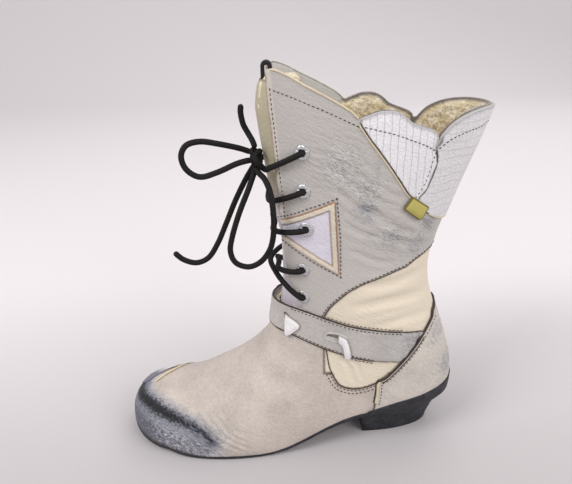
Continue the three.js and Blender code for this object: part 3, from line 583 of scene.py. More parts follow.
def border(faces):
    """Directed border edges of faces given as index arrays."""
    edges = np.vstack(
        [np.stack([f[:, i], f[:, (i + 1) % f.shape[1]]], 1) for f in faces for i in range(f.shape[1])]
    )
    big = edges.max() + 1
    code, back_code = edges[:, 0] * big + edges[:, 1], edges[:, 1] * big + edges[:, 0]
    return edges[~np.isin(code, back_code)]


def set_mark(piece, name, values):
    """One value a vertex, which the piece's look reads."""
    made = piece.data.attributes.new(name, "FLOAT", "POINT")
    made.data.foreach_set("value", np.asarray(values, np.float32).ravel())


def as_value(given, p, u, phi):
    return given(p, u, phi) if callable(given) else np.full(len(p), float(given))


def shell(name, field, outer, inner, spacing=1.3, opened=-RIDGE, closed=False, bulge=0.35, marks=None):
    """A closed sheet between two offsets of the surface. marks are attributes by name."""
    u, phi, quads, tris = trimmed(field, spacing, opened, closed)
    base, out = surface(u, phi), normal(u, phi)
    top = base + out * as_value(outer, base, u, phi)[:, None]
    bottom = base + out * as_value(inner, base, u, phi)[:, None]
    edges = border([f for f in (quads, tris) if len(f)])
    away = np.zeros_like(top)
    run = base[edges[:, 1]] - base[edges[:, 0]]
    sideways = np.cross(run, out[edges[:, 0]])
    np.add.at(away, edges[:, 0], sideways)
    np.add.at(away, edges[:, 1], sideways)
    away /= np.maximum(np.linalg.norm(away, axis=1, keepdims=True), 1e-9)
    ring = np.unique(edges)
    count = len(u)
    verts, source = [top, bottom], [np.arange(count), np.arange(count)]
    chain = [np.arange(count)]
    for k in range(RIM_RINGS):
        share = (k + 1) / (RIM_RINGS + 1)
        lift = bulge * math.sin(math.pi * share)
        verts.append(top[ring] * (1 - share) + bottom[ring] * share + away[ring] * lift)
        source.append(ring)
        lookup = np.full(count, -1)
        lookup[ring] = 2 * count + k * len(ring) + np.arange(len(ring))
        chain.append(lookup)
    chain.append(np.arange(count) + count)
    faces = quads.tolist() + tris.tolist()
    faces += (quads[:, ::-1] + count).tolist() + (tris[:, ::-1] + count).tolist()
    a, b = edges[:, 0], edges[:, 1]
    for upper_ring, lower_ring in zip(chain[:-1], chain[1:]):
        faces += np.stack([upper_ring[b], upper_ring[a], lower_ring[a], lower_ring[b]], 1).tolist()
    piece = made_piece(name, np.vstack(verts) * MM, faces)
    source = np.concatenate(source)
    for mark, value in (marks or {}).items():
        set_mark(piece, mark, as_value(value, base, u, phi)[source])
    return piece


# The upper: nappa side leather, drum-dyed a warm grey and airbrushed near black round the toe. The
# foot and the shaft meet under the strap, where the real one is seamed, and the shaft has a cream
# ankle panel let in below its grey flaps.
SOLE_LINE = [
    [-0.2, 0, 1.3],
    [-0.007, 0, 1.167],
    [0.179, 0, 1.083],
    [0.352, 0, 0.983],
    [0.531, 0, 0.85],
    [0.628, 0, 0.717],
    [0.724, 0, 0.55],
    [0.834, 0, 0.333],
    [0.945, 0, 0.12],
    [1.032, 0, 0.027],
    [1.112, 0, 0],
    [1.462, 0, 0],
    [1.526, 0.03, 0],
    [1.645, 0.18, 0],
    [1.765, 0.4, 0],
    [1.884, 0.69, 0],
    [2.004, 1, 0],
    [2.2, 1.5, 0],
]
sole_points = np.array([[station(s), toe * TOE_SPRING + heel * HEEL_HEIGHT] for s, toe, heel in SOLE_LINE])


def sole_height(x):
    return np.interp(x, sole_points[::-1, 0], sole_points[::-1, 1])


BEHIND, IN_FRONT, ABOVE = -0.3, 1.4, 2.4
THROAT_FOOT = 1.105
THROAT_EDGE = [
    [0.85, THROAT_FOOT],
    [0.848, 1.145],
    [0.883, 1.19],
    [0.911, 1.235],
    [0.928, 1.29],
    [0.945, 1.39],
    [0.957, 1.525],
    [0.969, 1.685],
    [0.985, 1.815],
    [1.0, 1.95],
    [1.004, 2.1],
]
FLAP_TOP = [
    [1.02, 1.995],
    [1.0, 2.0],
    [0.965, 2.003],
    [0.903, 1.986],
    [0.828, 1.956],
    [0.724, 1.917],
    [0.634, 1.878],
    [0.593, 1.849],
]
FRONT_CUFF_TOP = [
    [0.575, 1.855],
    [0.517, 1.87],
    [0.476, 1.874],
    [0.432, 1.871],
    [0.392, 1.856],
    [0.349, 1.83],
    [0.271, 1.809],
    [0.237, 1.796],
    [0.226, 1.777],
]
NOTCH = [0.238, 1.745]
BACK_CUFF_TOP = [
    [0.222, 1.765],
    [0.203, 1.785],
    [0.152, 1.822],
    [0.076, 1.847],
    [-0.014, 1.858],
    [-0.11, 1.857],
    [BEHIND, 1.85],
]
throat_line = smooth(side(THROAT_EDGE))
flap_top, front_cuff_top, back_cuff_top = (
    smooth(side(rows)) for rows in (FLAP_TOP, FRONT_CUFF_TOP, BACK_CUFF_TOP)
)
notch = np.array(side([NOTCH]))
throat_outline = np.vstack([throat_line, side([[IN_FRONT, 2.1], [IN_FRONT, THROAT_FOOT]])])
collar_line = np.vstack([flap_top, front_cuff_top, notch, back_cuff_top])
collar_outline = np.vstack(
    [collar_line, side([[BEHIND, ABOVE], [IN_FRONT, ABOVE], [IN_FRONT, FLAP_TOP[0][1]]])]
)
EYELETS = [[0.845, 1.737], [0.842, 1.6], [0.827, 1.462], [0.846, 1.293], [0.846, 1.175]]
PATCHED_EYELET = 2
EYELET_HOLE = 3.2
eyelet_seats = [on_side(side(EYELETS), sign) for sign in (-1, 1)]
eyelet_points = np.vstack([surface(*seat) for seat in eyelet_seats])

# The line under the strap where foot and shaft meet (x, z).
JOIN = np.array(
    [[-140, 113], [-104, 112], [-93, 112], [-66, 105], [-46, 99], [-26, 94], [-6, 90], [60, 86]]
)


def join_height(x):
    return np.interp(x, JOIN[:, 0], JOIN[:, 1])


def clear_of_eyelets(p, radius=EYELET_HOLE):
    gaps = np.full(p.shape[:-1], 1e9)
    for centre in eyelet_points:
        gaps = np.minimum(gaps, np.linalg.norm(p - centre, axis=-1) - radius)
    return gaps


def shaft_field(p):
    x, z = p[..., 0], p[..., 2]
    f = np.minimum(z - join_height(x), -within(throat_outline, x, z))
    f = np.minimum(f, -within(collar_outline, x, z))
    return np.minimum(f, clear_of_eyelets(p))


def foot_field(p):
    x, z = p[..., 0], p[..., 2]
    return np.minimum(join_height(x) - z, z - sole_height(x) - SOLE_THICKNESS)


# Seams of the cream panels, in x and z.
CREAM_TOP = smooth(
    [[-66, 121], [-62, 129], [-56, 136], [-47.6, 144], [-37, 149.6], [-26, 154], [-14.6, 158], [-6.8, 160],
     [1, 164], [9, 167], [20, 170], [45, 172]]
)
CREAM_FOOT = smooth(
    [[-64.5, 92], [-62, 76], [-58, 66], [-53.6, 59.5], [-45.6, 56], [-37.6, 56], [-28, 59], [-22, 63]]
)
cream_upper = np.vstack([CREAM_TOP, [[45, 70], [-66, 70]]])
cream_lower = np.vstack([CREAM_FOOT, [[-9.8, 75], [-3.9, 83.6], [4.7, 92.7], [10, 100], [-64, 100]]])

# Creases on the outer side, in mm: from x, z to x, z, how deep and how wide. The
# inner side has the same, a little weaker.
CREASES = [
    [-66, 240, -34, 224, 0.8, 2.2],
    [-58, 232, -24, 212, 0.9, 2.2],
    [-50, 236, -12, 214, 0.7, 2.0],
    [-62, 222, -28, 202, 0.8, 2.2],
    [-46, 212, -12, 194, 1.0, 2.4],
    [-36, 204, 0, 184, 1.1, 2.4],
    [-54, 198, -20, 180, 0.8, 2.2],
    [-30, 190, 8, 174, 1.1, 2.6],
    [-50, 176, -16, 164, 0.7, 2.2],
    [-76, 250, -46, 236, 0.5, 2.0],
    [-10, 206, 10, 184, 1.0, 2.6],
    [0, 198, 14, 180, 1.1, 2.6],
    [-42, 147, 12, 152, 1.1, 3.2],
    [-46, 131, 14, 136, 1.3, 3.4],
    [-34, 114, 18, 118, 0.7, 3.0],
    [-52, 86, -42, 62, 0.9, 2.0],
    [-46, 88, -35, 64, 0.8, 1.7],
    [-162, 37, -127, 10, 1.0, 1.5],
    [-157, 39, -129, 17, 0.9, 1.4],
    [-168, 34, -135, 9, 1.0, 1.5],
    [-172, 32, -145, 8, 0.9, 1.4],
    [-178, 30, -155, 8, 0.7, 1.4],
    [-150, 40, -130, 24, 0.6, 1.3],
    [-120, 74, -84, 60, 1.0, 7.0],
    [-112, 92, -78, 76, 1.1, 6.0],
    [-140, 56, -108, 34, 0.8, 8.0],
]
CREASE_DEPTH = 1.2  # at most
INNER_CREASES = 0.7


def creased(p):
    x, z = p[..., 0], p[..., 2]
    total = np.zeros(x.shape)
    for x0, z0, x1, z1, deep, wide in CREASES:
        long = math.hypot(x1 - x0, z1 - z0)
        along = ((x - x0) * (x1 - x0) + (z - z0) * (z1 - z0)) / long**2
        across = ((x - x0) * (z1 - z0) - (z - z0) * (x1 - x0)) / long
        across = across + 0.9 * np.sin(along * 7 + x0)
        ends = ease(along, -0.1, 0.25) * ease(-along, -1.1, -0.75)
        trough = np.exp(-((across / wide) ** 2))
        ridge = np.exp(-(((np.abs(across) - 1.9 * wide) / wide) ** 2))
        total += deep * ends * (0.45 * ridge - trough)
    return CREASE_DEPTH * np.tanh(total / CREASE_DEPTH) * np.where(p[..., 1] < 0, 1, INNER_CREASES)


random = np.random.default_rng(7)
WAVES = random.normal(size=(14, 3)) * 0.055
PHASES = random.uniform(0, TAU, 14)


def uneven(p, fine=1):
    """Soft lumps about 60 mm apart, between -1 and 1."""
    return sum(np.sin(p @ (w * fine) + h) for w, h in zip(WAVES, PHASES)) / 6


# Raised seams down the foot: the counter's side seam, and the short one under the strap's front.
FOOT_SEAMS = [[[-22.7, 62], [-23.9, 54], [-24.7, 44], [-26, 30]], [[-101, 108], [-104, 118]]]


def cream_distance(p):
    x, z = p[..., 0], p[..., 2]
    return np.maximum(within(cream_upper, x, z), within(cream_lower, x, z))


def edge_distance(p):
    """How far behind the throat's edge."""
    x, z = p[..., 0], p[..., 2]
    return np.where(z > 200, from_line(throat_line, x, z), 99)


def seam_distance(p):
    x, z = p[..., 0], p[..., 2]
    best = np.abs(cream_distance(p))
    for line in FOOT_SEAMS:
        best = np.minimum(best, from_line(smooth(line), x, z))
    return best


FOLD_WIDTH = 3.8
FOLD_LIFT = 0.35
LAP = 0.75
SEAM_LIFT, SEAM_WIDTH = 0.8, 1.6
WRINKLE_DEPTH = 0.9
LOWEST = 1.35  # no crease goes deeper, or it would come through to the lining

# Where the leather has gone into fine wrinkles that fall towards the heel: centre x, z and reach.
WRINKLED = [[-54, 240, 28], [-37, 220, 24], [-20, 188, 17], [4, 186, 13], [-152, 22, 22]]


def wrinkle_mask(p, u=None, phi=None):
    x, z = p[..., 0], p[..., 2]
    masks = [np.exp(-(((x - cx) ** 2 + (z - cz) ** 2) / reach**2)) for cx, cz, reach in WRINKLED]
    return np.maximum.reduce(masks)


def wrinkled(p):
    x, z = p[..., 0], p[..., 2]
    along, across = 0.87 * x - 0.5 * z, 0.5 * x + 0.87 * z
    fold = np.abs(np.sin(0.72 * across + 1.3 * np.sin(along / 8) + 1.6 * np.sin(along / 19 + 1)))
    broken = 0.5 + 0.5 * np.sin(along / 5 + across / 3)
    return wrinkle_mask(p) * broken * (fold**0.7 - 0.6)


def soft(p):
    """The leather's own unevenness, which everything laid on it follows."""
    return creased(p) + 0.35 * uneven(p) + 0.12 * uneven(p, 3)


def upper_relief(p, u, phi):
    cream = cream_distance(p)
    lap = np.where(cream < 0, LAP * np.exp(cream / 10), -0.15 * np.exp(-cream / 3))
    fold = FOLD_LIFT * ease(-edge_distance(p), -FOLD_WIDTH - 0.8, -FOLD_WIDTH + 0.4)
    gaps = [from_line(smooth(line), p[..., 0], p[..., 2]) for line in FOOT_SEAMS]
    seams = sum(np.exp(-((gap / SEAM_WIDTH) ** 2)) for gap in gaps)
    total = soft(p) + WRINKLE_DEPTH * wrinkled(p) + lap + fold + SEAM_LIFT * seams
    return np.where(total < 0, LOWEST * np.tanh(total / LOWEST), total)


# The airbrushed band goes round the toe's shoulder: the outer side's line in x, y and z, and the
# inner side's. Below it the leather is streaked lilac grey.
OUTER_BAND = [
    [-222, 6, 33],
    [-219, -8, 34.5],
    [-204, -25, 34.5],
    [-187, -36, 32],
    [-167, -45.5, 27],
    [-157, -50, 19],
]
INNER_BAND = [[-222, 6, 33], [-218, 20, 30], [-208, 32, 24]]


def toe_band(p, u, phi):
    """Distance from the airbrushed band's middle."""
    best = np.full(p.shape[:-1], 1e9)
    for rows, extra in ((OUTER_BAND, 0), (INNER_BAND, 2)):
        for spot in smooth(rows, 10):
            best = np.minimum(best, np.linalg.norm(p - spot, axis=-1) + extra)
    return best + 2.4 * ease(p[..., 0], -204, -160)


def toe_haze(p, u, phi):
    """0 above the band, 1 well below it, and more towards the toe's tip."""
    x, y, z = p[..., 0], p[..., 1], p[..., 2]
    band = np.array(OUTER_BAND)
    below = np.interp(-x, -band[::-1, 0], band[::-1, 2]) - z
    outer = ease(below, -3, 5) * ease(-x, 132, 168) * ease(-y, 6, 16)
    tip = ease(-x, 209, 217)
    inner = ease(y, 4, 20) * ease(-x, 196, 214)
    return np.maximum.reduce([outer, tip, inner]) + 0.4 * ease(-x, 192, 220)


def sole_shade(p, u, phi):
    """Height over the sole, which darkens the toe's lower edge."""
    return p[..., 2] - sole_height(p[..., 0]) - SOLE_THICKNESS + 12 * ease(p[..., 0], -178, -140)


# Blue-grey rubs: centre x, z, reach, how strong.
RUBS = [
    [-40, 224, 10, 0.5],
    [-38, 208, 11, 0.68],
    [-64, 240, 11, 0.4],
    [-71, 230, 9, 0.34],
    [-31, 238, 12, 0.34],
    [-52, 228, 15, 0.36],
    [-17, 184, 12, 0.56],
    [9, 194, 9, 0.66],
    [0, 176, 12, 0.56],
    [-48, 250, 10, 0.32],
    [-32, 186, 12, 0.3],
    [24, 96, 12, 0.4],
    [36, 66, 14, 0.55],
    [-30, 95, 16, 0.3],
]


def rubbed(p, u, phi):
    x, z = p[..., 0], p[..., 2]
    total = np.zeros(x.shape)
    for cx, cz, reach, strong in RUBS:
        total = np.maximum(total, strong * np.exp(-(((x - cx) ** 2 + (z - cz) ** 2) / reach**2)))
    return total


FRONT_SLOT = [[0.945, 1.083], [0.93, 1.09], [0.868, 1.05], [0.87, 1.035], [0.93, 1.05]]
REAR_SLOT = [
    [0.73, 1.035],
    [0.66, 1.033],
    [0.62, 1.012],
    [0.61, 0.98],
    [0.625, 0.965],
    [0.645, 0.99],
    [0.66, 1.01],
    [0.73, 1.02],
]
slot_outlines = [np.array(side(rows)) for rows in (FRONT_SLOT, REAR_SLOT)]


def slot_distance(p, u, phi):
    """Inside the strap's slots, where the upper that shows is painted a darker grey: painted shade under
    the strap.
    """
    return np.maximum(*(within(outline, p[..., 0], p[..., 2]) for outline in slot_outlines))


upper_marks = {
    "slot": slot_distance,
    "cream": lambda p, u, phi: cream_distance(p),
    "edge": lambda p, u, phi: edge_distance(p),
    "seam": lambda p, u, phi: seam_distance(p),
    "band": toe_band,
    "haze": toe_haze,
    "wrinkle": wrinkle_mask,
    "sole": sole_shade,
    "rub": rubbed,
    "shaft": lambda p, u, phi: ease(p[..., 2], 96, 128),
}
LEATHER = 1.7
upper_shaft = shell(
    "upper_shaft", shaft_field, upper_relief, -LEATHER, spacing=1.42, closed=True, marks=upper_marks
)
upper_foot = shell(
    "upper_foot", foot_field, upper_relief, -LEATHER, spacing=1.5, closed=True, marks=upper_marks
)


# In mm: drawn about seven times as deep as real grain, which would be too fine to show.
GRAIN_RELIEF = 0.84


def tanned(name, base, zones, rough=0.62, grain=1.1, blotch=0.2, pattern=None):
    """Dyed leather. Each zone is an attribute with its limits in mm (or as a share), a colour and
    how much a noise of some mm breaks it up."""
    look, tree, coords = new_material(name)
    pebble = add(
        tree,
        "ShaderNodeTexVoronoi",
        {"Vector": coords, "Scale": 1 / (grain * MM), "Randomness": 1.0},
        feature="SMOOTH_F1",
    )
    turned = add(
        tree,
        "ShaderNodeMapping",
        {"Vector": coords, "Rotation": (0, math.radians(30), 0), "Scale": (3.6, 1.0, 0.8)},
        vector_type="TEXTURE",
    )
    fine_lines, clouds, speckle = (
        add(
            tree,
            "ShaderNodeTexNoise",
            {"Vector": vector, "Scale": scale, "Detail": detail, "Roughness": broken},
        )
        for vector, scale, detail, broken in [
            (turned.outputs[0], 520.0, 4.0, 0.62),
            (coords, 38.0, 5.0, 0.62),
            (coords, 460.0, 3.0, 0.7),
        ]
    )
    dark = [c * (1 - blotch) for c in shade(base)[:3]] + [1]
    pale = [min(c * (1 + 0.5 * blotch), 1) for c in shade(base)[:3]] + [1]
    mottle = add(
        tree,
        "ShaderNodeMath",
        {0: speckle.outputs[0], 1: 0.8, 2: clouds.outputs[0]},
        operation="MULTIPLY_ADD",
    )
    spread = add(
        tree, "ShaderNodeMapRange", {"Value": mottle.outputs[0], "From Min": 0.65, "From Max": 1.15}
    )
    colour = add(
        tree,
        "ShaderNodeMix",
        {"Factor": spread.outputs[0], 6: dark, 7: pale},
        data_type="RGBA",
    ).outputs[2]
    for mark, low, high, tone, noise_mm, amount in zones:
        value = add(tree, "ShaderNodeAttribute", attribute_name=mark).outputs["Fac"]
        if amount:
            broken = add(
                tree,
                "ShaderNodeTexNoise",
                {
                    "Vector": turned.outputs[0],
                    "Scale": 1 / (noise_mm * MM),
                    "Detail": 6.0,
                    "Roughness": 0.7,
                },
            )
            centred = add(
                tree,
                "ShaderNodeMapRange",
                {
                    "Value": broken.outputs[0],
                    "From Min": 0.25,
                    "From Max": 0.75,
                    "To Min": -amount,
                    "To Max": amount,
                },
            )
            value = add(
                tree, "ShaderNodeMath", {0: value, 1: centred.outputs[0]}, operation="ADD"
            ).outputs[0]
        share = add(
            tree, "ShaderNodeMapRange", {"Value": value, "From Min": low, "From Max": high}
        ).outputs[0]
        colour = add(
            tree, "ShaderNodeMix", {"Factor": share, 6: colour, 7: shade(tone)}, data_type="RGBA"
        ).outputs[2]
    wrinkles = add(tree, "ShaderNodeAttribute", attribute_name="wrinkle").outputs["Fac"]
    keen = add(
        tree, "ShaderNodeMath", {0: wrinkles, 1: 2.2, 2: 1.0}, operation="MULTIPLY_ADD"
    ).outputs[0]
    lines = add(
        tree, "ShaderNodeMath", {0: fine_lines.outputs[0], 1: keen}, operation="MULTIPLY"
    ).outputs[0]
    height = add(
        tree, "ShaderNodeMath", {0: pebble.outputs[0], 1: 0.45, 2: lines}, operation="MULTIPLY_ADD"
    )
    height = height.outputs[0]
    if pattern:
        mask = pattern(tree, coords)
        colour = add(
            tree, "ShaderNodeMix", {"Factor": mask, 6: colour, 7: shade("a3a0a8")}, data_type="RGBA"
        ).outputs[2]
        height = add(
            tree, "ShaderNodeMath", {0: mask, 1: -0.8, 2: height}, operation="MULTIPLY_ADD"
        ).outputs[0]
    bump = add(
        tree,
        "ShaderNodeBump",
        {"Height": height, "Strength": 0.7, "Distance": GRAIN_RELIEF * MM},
    )
    worn = add(
        tree,
        "ShaderNodeMapRange",
        {
            "Value": fine_lines.outputs[0],
            "From Min": 0.3,
            "From Max": 0.7,
            "To Min": rough - 0.06,
            "To Max": rough + 0.1,
        },
    )
    finish_material(
        tree,
        {
            "Base Color": colour,
            "Roughness": worn.outputs[0],
            "Normal": bump.outputs[0],
            "Specular IOR Level": 0.35,
            "Sheen Weight": 0.08,
        },
    )
    return look


GREY_FOOT, GREY_SHAFT, CREAM = "c4b9b0", "bab5b0", "ded2be"
upper_look = tanned(
    "worn_nappa",
    GREY_FOOT,
    [
        ("shaft", 0.2, 0.9, GREY_SHAFT, 6, 0.2),
        # Painted highlight and painted shade: paler and darker streaks along the fine wrinkles.
        ("wrinkle", 0.82, 1.05, "d0cdc9", 0.6, 0.55),
        ("wrinkle", 0.9, 1.15, "97958f", 0.8, 0.55),
        ("rub", 0.3, 0.95, "98989d", 1.7, 0.7),
        ("rub", 0.66, 1.15, "484a52", 1.0, 0.8),
        ("cream", -0.15, 0.15, CREAM, 1, 0),
        ("edge", FOLD_WIDTH + 0.2, FOLD_WIDTH - 0.2, "c9c2b8", 1, 0),
        ("edge", 1.2, 0.1, "9c8470", 2, 0.8),
        ("seam", 1.5, 0.2, "6b5f52", 2, 0.6),
        # Painted shade on the upper inside the strap's slots.
        ("slot", -1.2, -0.4, "a8a09a", 1, 0),
        ("haze", 0.3, 0.8, "b9b7bd", 2.4, 0.3),
        ("haze", 0.6, 1.2, "555661", 1.3, 0.8),
        ("band", 14, 4.5, "8b8c95", 2.8, 4.5),
        ("band", 8.2, 3.4, "42434d", 1.8, 4.5),
        ("band", 4.8, 2.0, "0e0d12", 1.8, 3.0),
        ("sole", 3.6, 0.4, "26252d", 1.6, 2.4),
    ],
)
for piece in (upper_shaft, upper_foot):
    dress(piece, upper_look, "upper", slot="grey_leather")

# The heel counter: a stiff cap of the same grey leather, sewn round the heel over the upper and
# edged in front with a thick dark piping.
COUNTER_EDGE = [
    [BEHIND, 1.09],
    [0.104, 1.085],
    [0.15, 1.055],
    [0.199, 1.016],
    [0.25, 0.927],
    [0.32, 0.8],
    [0.35, 0.75],
    [0.407, 0.656],
    [0.444, 0.625],
    [0.45, 0.5],
    [0.463, 0.3],
    [0.47, 0.1],
    [BEHIND, 0.1],
]
CLEARANCE = 0.3
COUNTER_OUT = CLEARANCE + 1.2
counter_edge = smooth(side(COUNTER_EDGE[:-1]))
counter_outline = np.vstack([counter_edge, side(COUNTER_EDGE[-1:])])


def counter_field(p):
    x, z = p[..., 0], p[..., 2]
    return np.minimum(within(counter_outline, x, z), z - sole_height(x) - SOLE_THICKNESS - CLEARANCE)


def on_layer(out, extra=None):
    """The height of a layer laid on the uneven upper."""
    return lambda p, u, phi: out + soft(p) + (extra(p) if extra else 0)


def edge_of(field):
    return lambda p, u, phi: field(p)


counter = shell(
    "counter_cap",
    counter_field,
    on_layer(COUNTER_OUT),
    on_layer(-0.2),
    opened=RIDGE,
    marks={"edge": edge_of(counter_field), "rub": rubbed, "low": lambda p, u, phi: p[..., 2]},
)
counter_look = tanned(
    "worn_counter_leather",
    "c8c1b8",
    [
        ("rub", 0.2, 0.8, "8d8f98", 2.4, 0.5),
        ("edge", 1.4, 0.2, "5d4f43", 1.5, 0.5),
    ],
)
dress(counter, counter_look, "counter", slot="grey_leather")

# The instep strap: a band of grey leather round the front of the ankle, from the counter's edge on
# one side to the other, edge-stitched twice at the back and slit for a thong.
STRAP_TOP = [
    [1.2, 1.12],
    [0.965, 1.12],
    [0.848, 1.116],
    [0.741, 1.099],
    [0.6, 1.069],
    [0.461, 1.049],
    [0.338, 1.033],
]
STRAP_BOTTOM = [
    [0.484, 0.823],
    [0.606, 0.863],
    [0.741, 0.921],
    [0.88, 0.991],
    [0.98, 1.01],
    [1.2, 1.02],
]
STRAP_OUT = CLEARANCE + 1.6
strap_end = [[s + 3 * CLEARANCE / ANKLE_DEPTH, share] for s, share in COUNTER_EDGE[3:6]]
strap_top, strap_bottom = smooth(side(STRAP_TOP)), smooth(side(STRAP_BOTTOM))
strap_outline = np.vstack([strap_top, side(strap_end), strap_bottom])


def strap_field(p):
    x, z = p[..., 0], p[..., 2]
    f = within(strap_outline, x, z)
    for outline in slot_outlines:
        f = np.minimum(f, -within(outline, x, z))
    return f


def strap_wrinkles(p):
    """Short upright wrinkles towards the counter and a soft wave along the band."""
    x, z = p[..., 0], p[..., 2]
    rear = ease(x, -34, 4)
    wave = 0.3 * np.sin(0.62 * x + 0.33 * z) + 0.22 * np.sin(1.05 * x - 0.4 * z)
    fold = -0.9 * np.exp(-(((x - 6 - 0.12 * (z - 96)) / 1.6) ** 2))
    roll = -0.5 * ease(-within(strap_outline, x, z), -2.6, -0.2)
    return rear * (wave + fold) + 0.12 * np.sin(0.21 * x) + roll


strap = shell(
    "strap_band",
    strap_field,
    on_layer(STRAP_OUT, strap_wrinkles),
    on_layer(0.1),
    spacing=1.35,
    marks={
        "edge": lambda p, u, phi: within(strap_outline, p[..., 0], p[..., 2]),
        "rear": lambda p, u, phi: ease(p[..., 0], -42, 8),
    },
)
strap_look = tanned(
    "strap_leather",
    "bcb7b3",
    [
        ("rear", 0.4, 1.1, "aaa7a6", 2.6, 0.45),
        ("rear", 0.85, 1.4, "6f6e74", 1.4, 0.55),
        ("edge", 1.1, 0.1, "3a2f29", 1.5, 0.4),
    ],
    grain=0.9,
)
dress(strap, strap_look, "instep_strap", slot="grey_leather")

# The thongs: tapered ends of white leather drawn out through the strap's slots, front and rear, on
# both sides.
THONGS = {
    "front": [[0.93, 1.083], [0.862, 1.056], [0.868, 1.03], [0.93, 0.985], [0.938, 1.03]],
    "rear": [
        [0.66, 1.035],
        [0.624, 1.02],
        [0.606, 0.98],
        [0.594, 0.86],
        [0.627, 0.852],
        [0.64, 0.955],
        [0.662, 1.0],
    ],
}
THONG_BASE = STRAP_OUT + CLEARANCE
SIDES = [["outer", -1, 0], ["inner", 1, -math.pi]]
white_look = tanned(
    "white_nappa",
    "eae7e8",
    [("edge", 0.7, 0.05, "9a8f86", 1.2, 0.3)],
    rough=0.55,
    blotch=0.12,
)


def one_side(outline, sign):
    def field(p):
        return np.minimum(within(outline, p[..., 0], p[..., 2]), p[..., 1] * sign - 1)

    return field


for where, rows in THONGS.items():
    for name, sign, opened in SIDES:
        field = one_side(smooth(side([*rows, rows[0]]), 8), sign)
        curl = lambda p, field=field: 0.9 * ease(field(p), 0.2, 3) - 0.9 * ease(-p[..., 2], -92, -84)
        thong = shell(
            f"thong_tip_{where}_{name}",
            field,
            on_layer(THONG_BASE + 1.2, curl),
            on_layer(THONG_BASE - 1.2),
            spacing=0.6,
            opened=opened,
            marks={"edge": edge_of(field)},
        )
        dress(thong, white_look, f"thong_{where}_{name}", slot="white_leather")

# The cuff: white leather embossed with scratches, a panel each side in front and one round the back,
# laid over the top of the shaft and stitched just under its edge.
CUFF_SEAM = [[0.224, 1.69], [0.26, 1.605], [0.295, 1.575]]
CUFF_FOOT = [
    [0.295, 1.558],
    [0.344, 1.588],
    [0.393, 1.641],
    [0.446, 1.697],
    [0.497, 1.747],
    [0.545, 1.793],
    [0.588, 1.84],
]
BACK_CUFF_FOOT = [
    [BEHIND, 1.465],
    [0.1, 1.465],
    [0.185, 1.482],
    [0.25, 1.513],
    [0.29, 1.545],
    [0.294, 1.571],
    [0.2585, 1.604],
    [0.2225, 1.69],
    [0.231, 1.745],
]
CUFF_OUT = CLEARANCE + 1
cuff_foot, cuff_seam = smooth(side(CUFF_FOOT)), smooth(side(CUFF_SEAM))
back_cuff_foot = smooth(side(BACK_CUFF_FOOT))
front_cuff_outline = np.vstack([cuff_foot, front_cuff_top, side([[0.236, 1.75]]), cuff_seam])
back_cuff_outline = np.vstack([side([[0.208, 1.762]]), back_cuff_top[6:], back_cuff_foot])


def lined(tree, coords, direction, pitch, wander, width, strength):
    """Thin embossed lines, pitch mm apart and wandering."""
    wave = add(
        tree,
        "ShaderNodeTexWave",
        {
            "Vector": coords,
            "Scale": TAU / (20 * pitch * MM),
            "Distortion": wander,
            "Detail": 3.0,
            "Detail Scale": 1.2,
        },
        bands_direction=direction,
    )
    return add(
        tree,
        "ShaderNodeMapRange",
        {"Value": wave.outputs["Fac"], "From Min": width, "From Max": 0.0, "To Max": strength},
    ).outputs[0]


def either(tree, *masks):
    together = masks[0]
    for mask in masks[1:]:
        together = add(tree, "ShaderNodeMath", {0: together, 1: mask}, operation="MAXIMUM").outputs[0]
    return together


def cells(tree, coords, size, strength):
    """Fine crackle between the lines."""
    network = add(
        tree,
        "ShaderNodeTexVoronoi",
        {"Vector": coords, "Scale": 1 / (size * MM)},
        feature="DISTANCE_TO_EDGE",
    )
    return add(
        tree,
        "ShaderNodeMapRange",
        {"Value": network.outputs["Distance"], "From Min": 0.09, "From Max": 0.0, "To Max": strength},
    ).outputs[0]


def hairlines(tree, coords):
    """Upright hairlines about 5 mm apart, with a fine crackle between them."""
    return either(tree, lined(tree, coords, "X", 4.8, 2.2, 0.04, 0.6), cells(tree, coords, 2.0, 0.25))


def crackle(tree, coords):
    """Level scratches crossed by fainter upright ones."""
    level_lines = lined(tree, coords, "Z", 6.0, 3.2, 0.035, 0.45)
    upright = lined(tree, coords, "X", 4.2, 2.6, 0.025, 0.3)
    return either(tree, level_lines, upright, cells(tree, coords, 2.4, 0.25))


CUFF_EDGES = [("edge", 0.7, 0.1, "6a625e", 1.5, 0.4), ("rim", 2.4, 0.2, "b9b6b8", 2.0, 1.2)]
front_cuff_look = tanned(
    "embossed_white_leather", "e9e7e9", CUFF_EDGES, rough=0.55, blotch=0.1, pattern=hairlines
)
back_cuff_look = tanned(
    "crackled_white_leather", "dfdcdd", CUFF_EDGES, rough=0.55, blotch=0.1, pattern=crackle
)


def below_collar(p, u=None, phi=None):
    return from_line(collar_line, p[..., 0], p[..., 2])


def cuff_swell(p):
    """Padded by the fleece behind it, with the seam's pull at its foot."""
    return 0.5 * ease(below_collar(p), 0, 9) - 0.3


for name, sign, opened in SIDES:
    field = one_side(front_cuff_outline, sign)
    cuff = shell(
        f"cuff_panel_front_{name}",
        field,
        on_layer(CUFF_OUT, cuff_swell),
        on_layer(-0.3),
        opened=opened,
        marks={"edge": edge_of(field), "rim": below_collar},
    )
    dress(cuff, front_cuff_look, f"cuff_front_{name}", slot="white_leather")


def back_cuff_field(p):
    return within(back_cuff_outline, p[..., 0], p[..., 2])


back_cuff = shell(
    "cuff_panel_back",
    back_cuff_field,
    on_layer(CUFF_OUT, cuff_swell),
    on_layer(-0.3),
    opened=RIDGE,
    marks={"edge": edge_of(back_cuff_field), "rim": below_collar},
)
dress(back_cuff, back_cuff_look, "cuff_back", slot="white_leather")

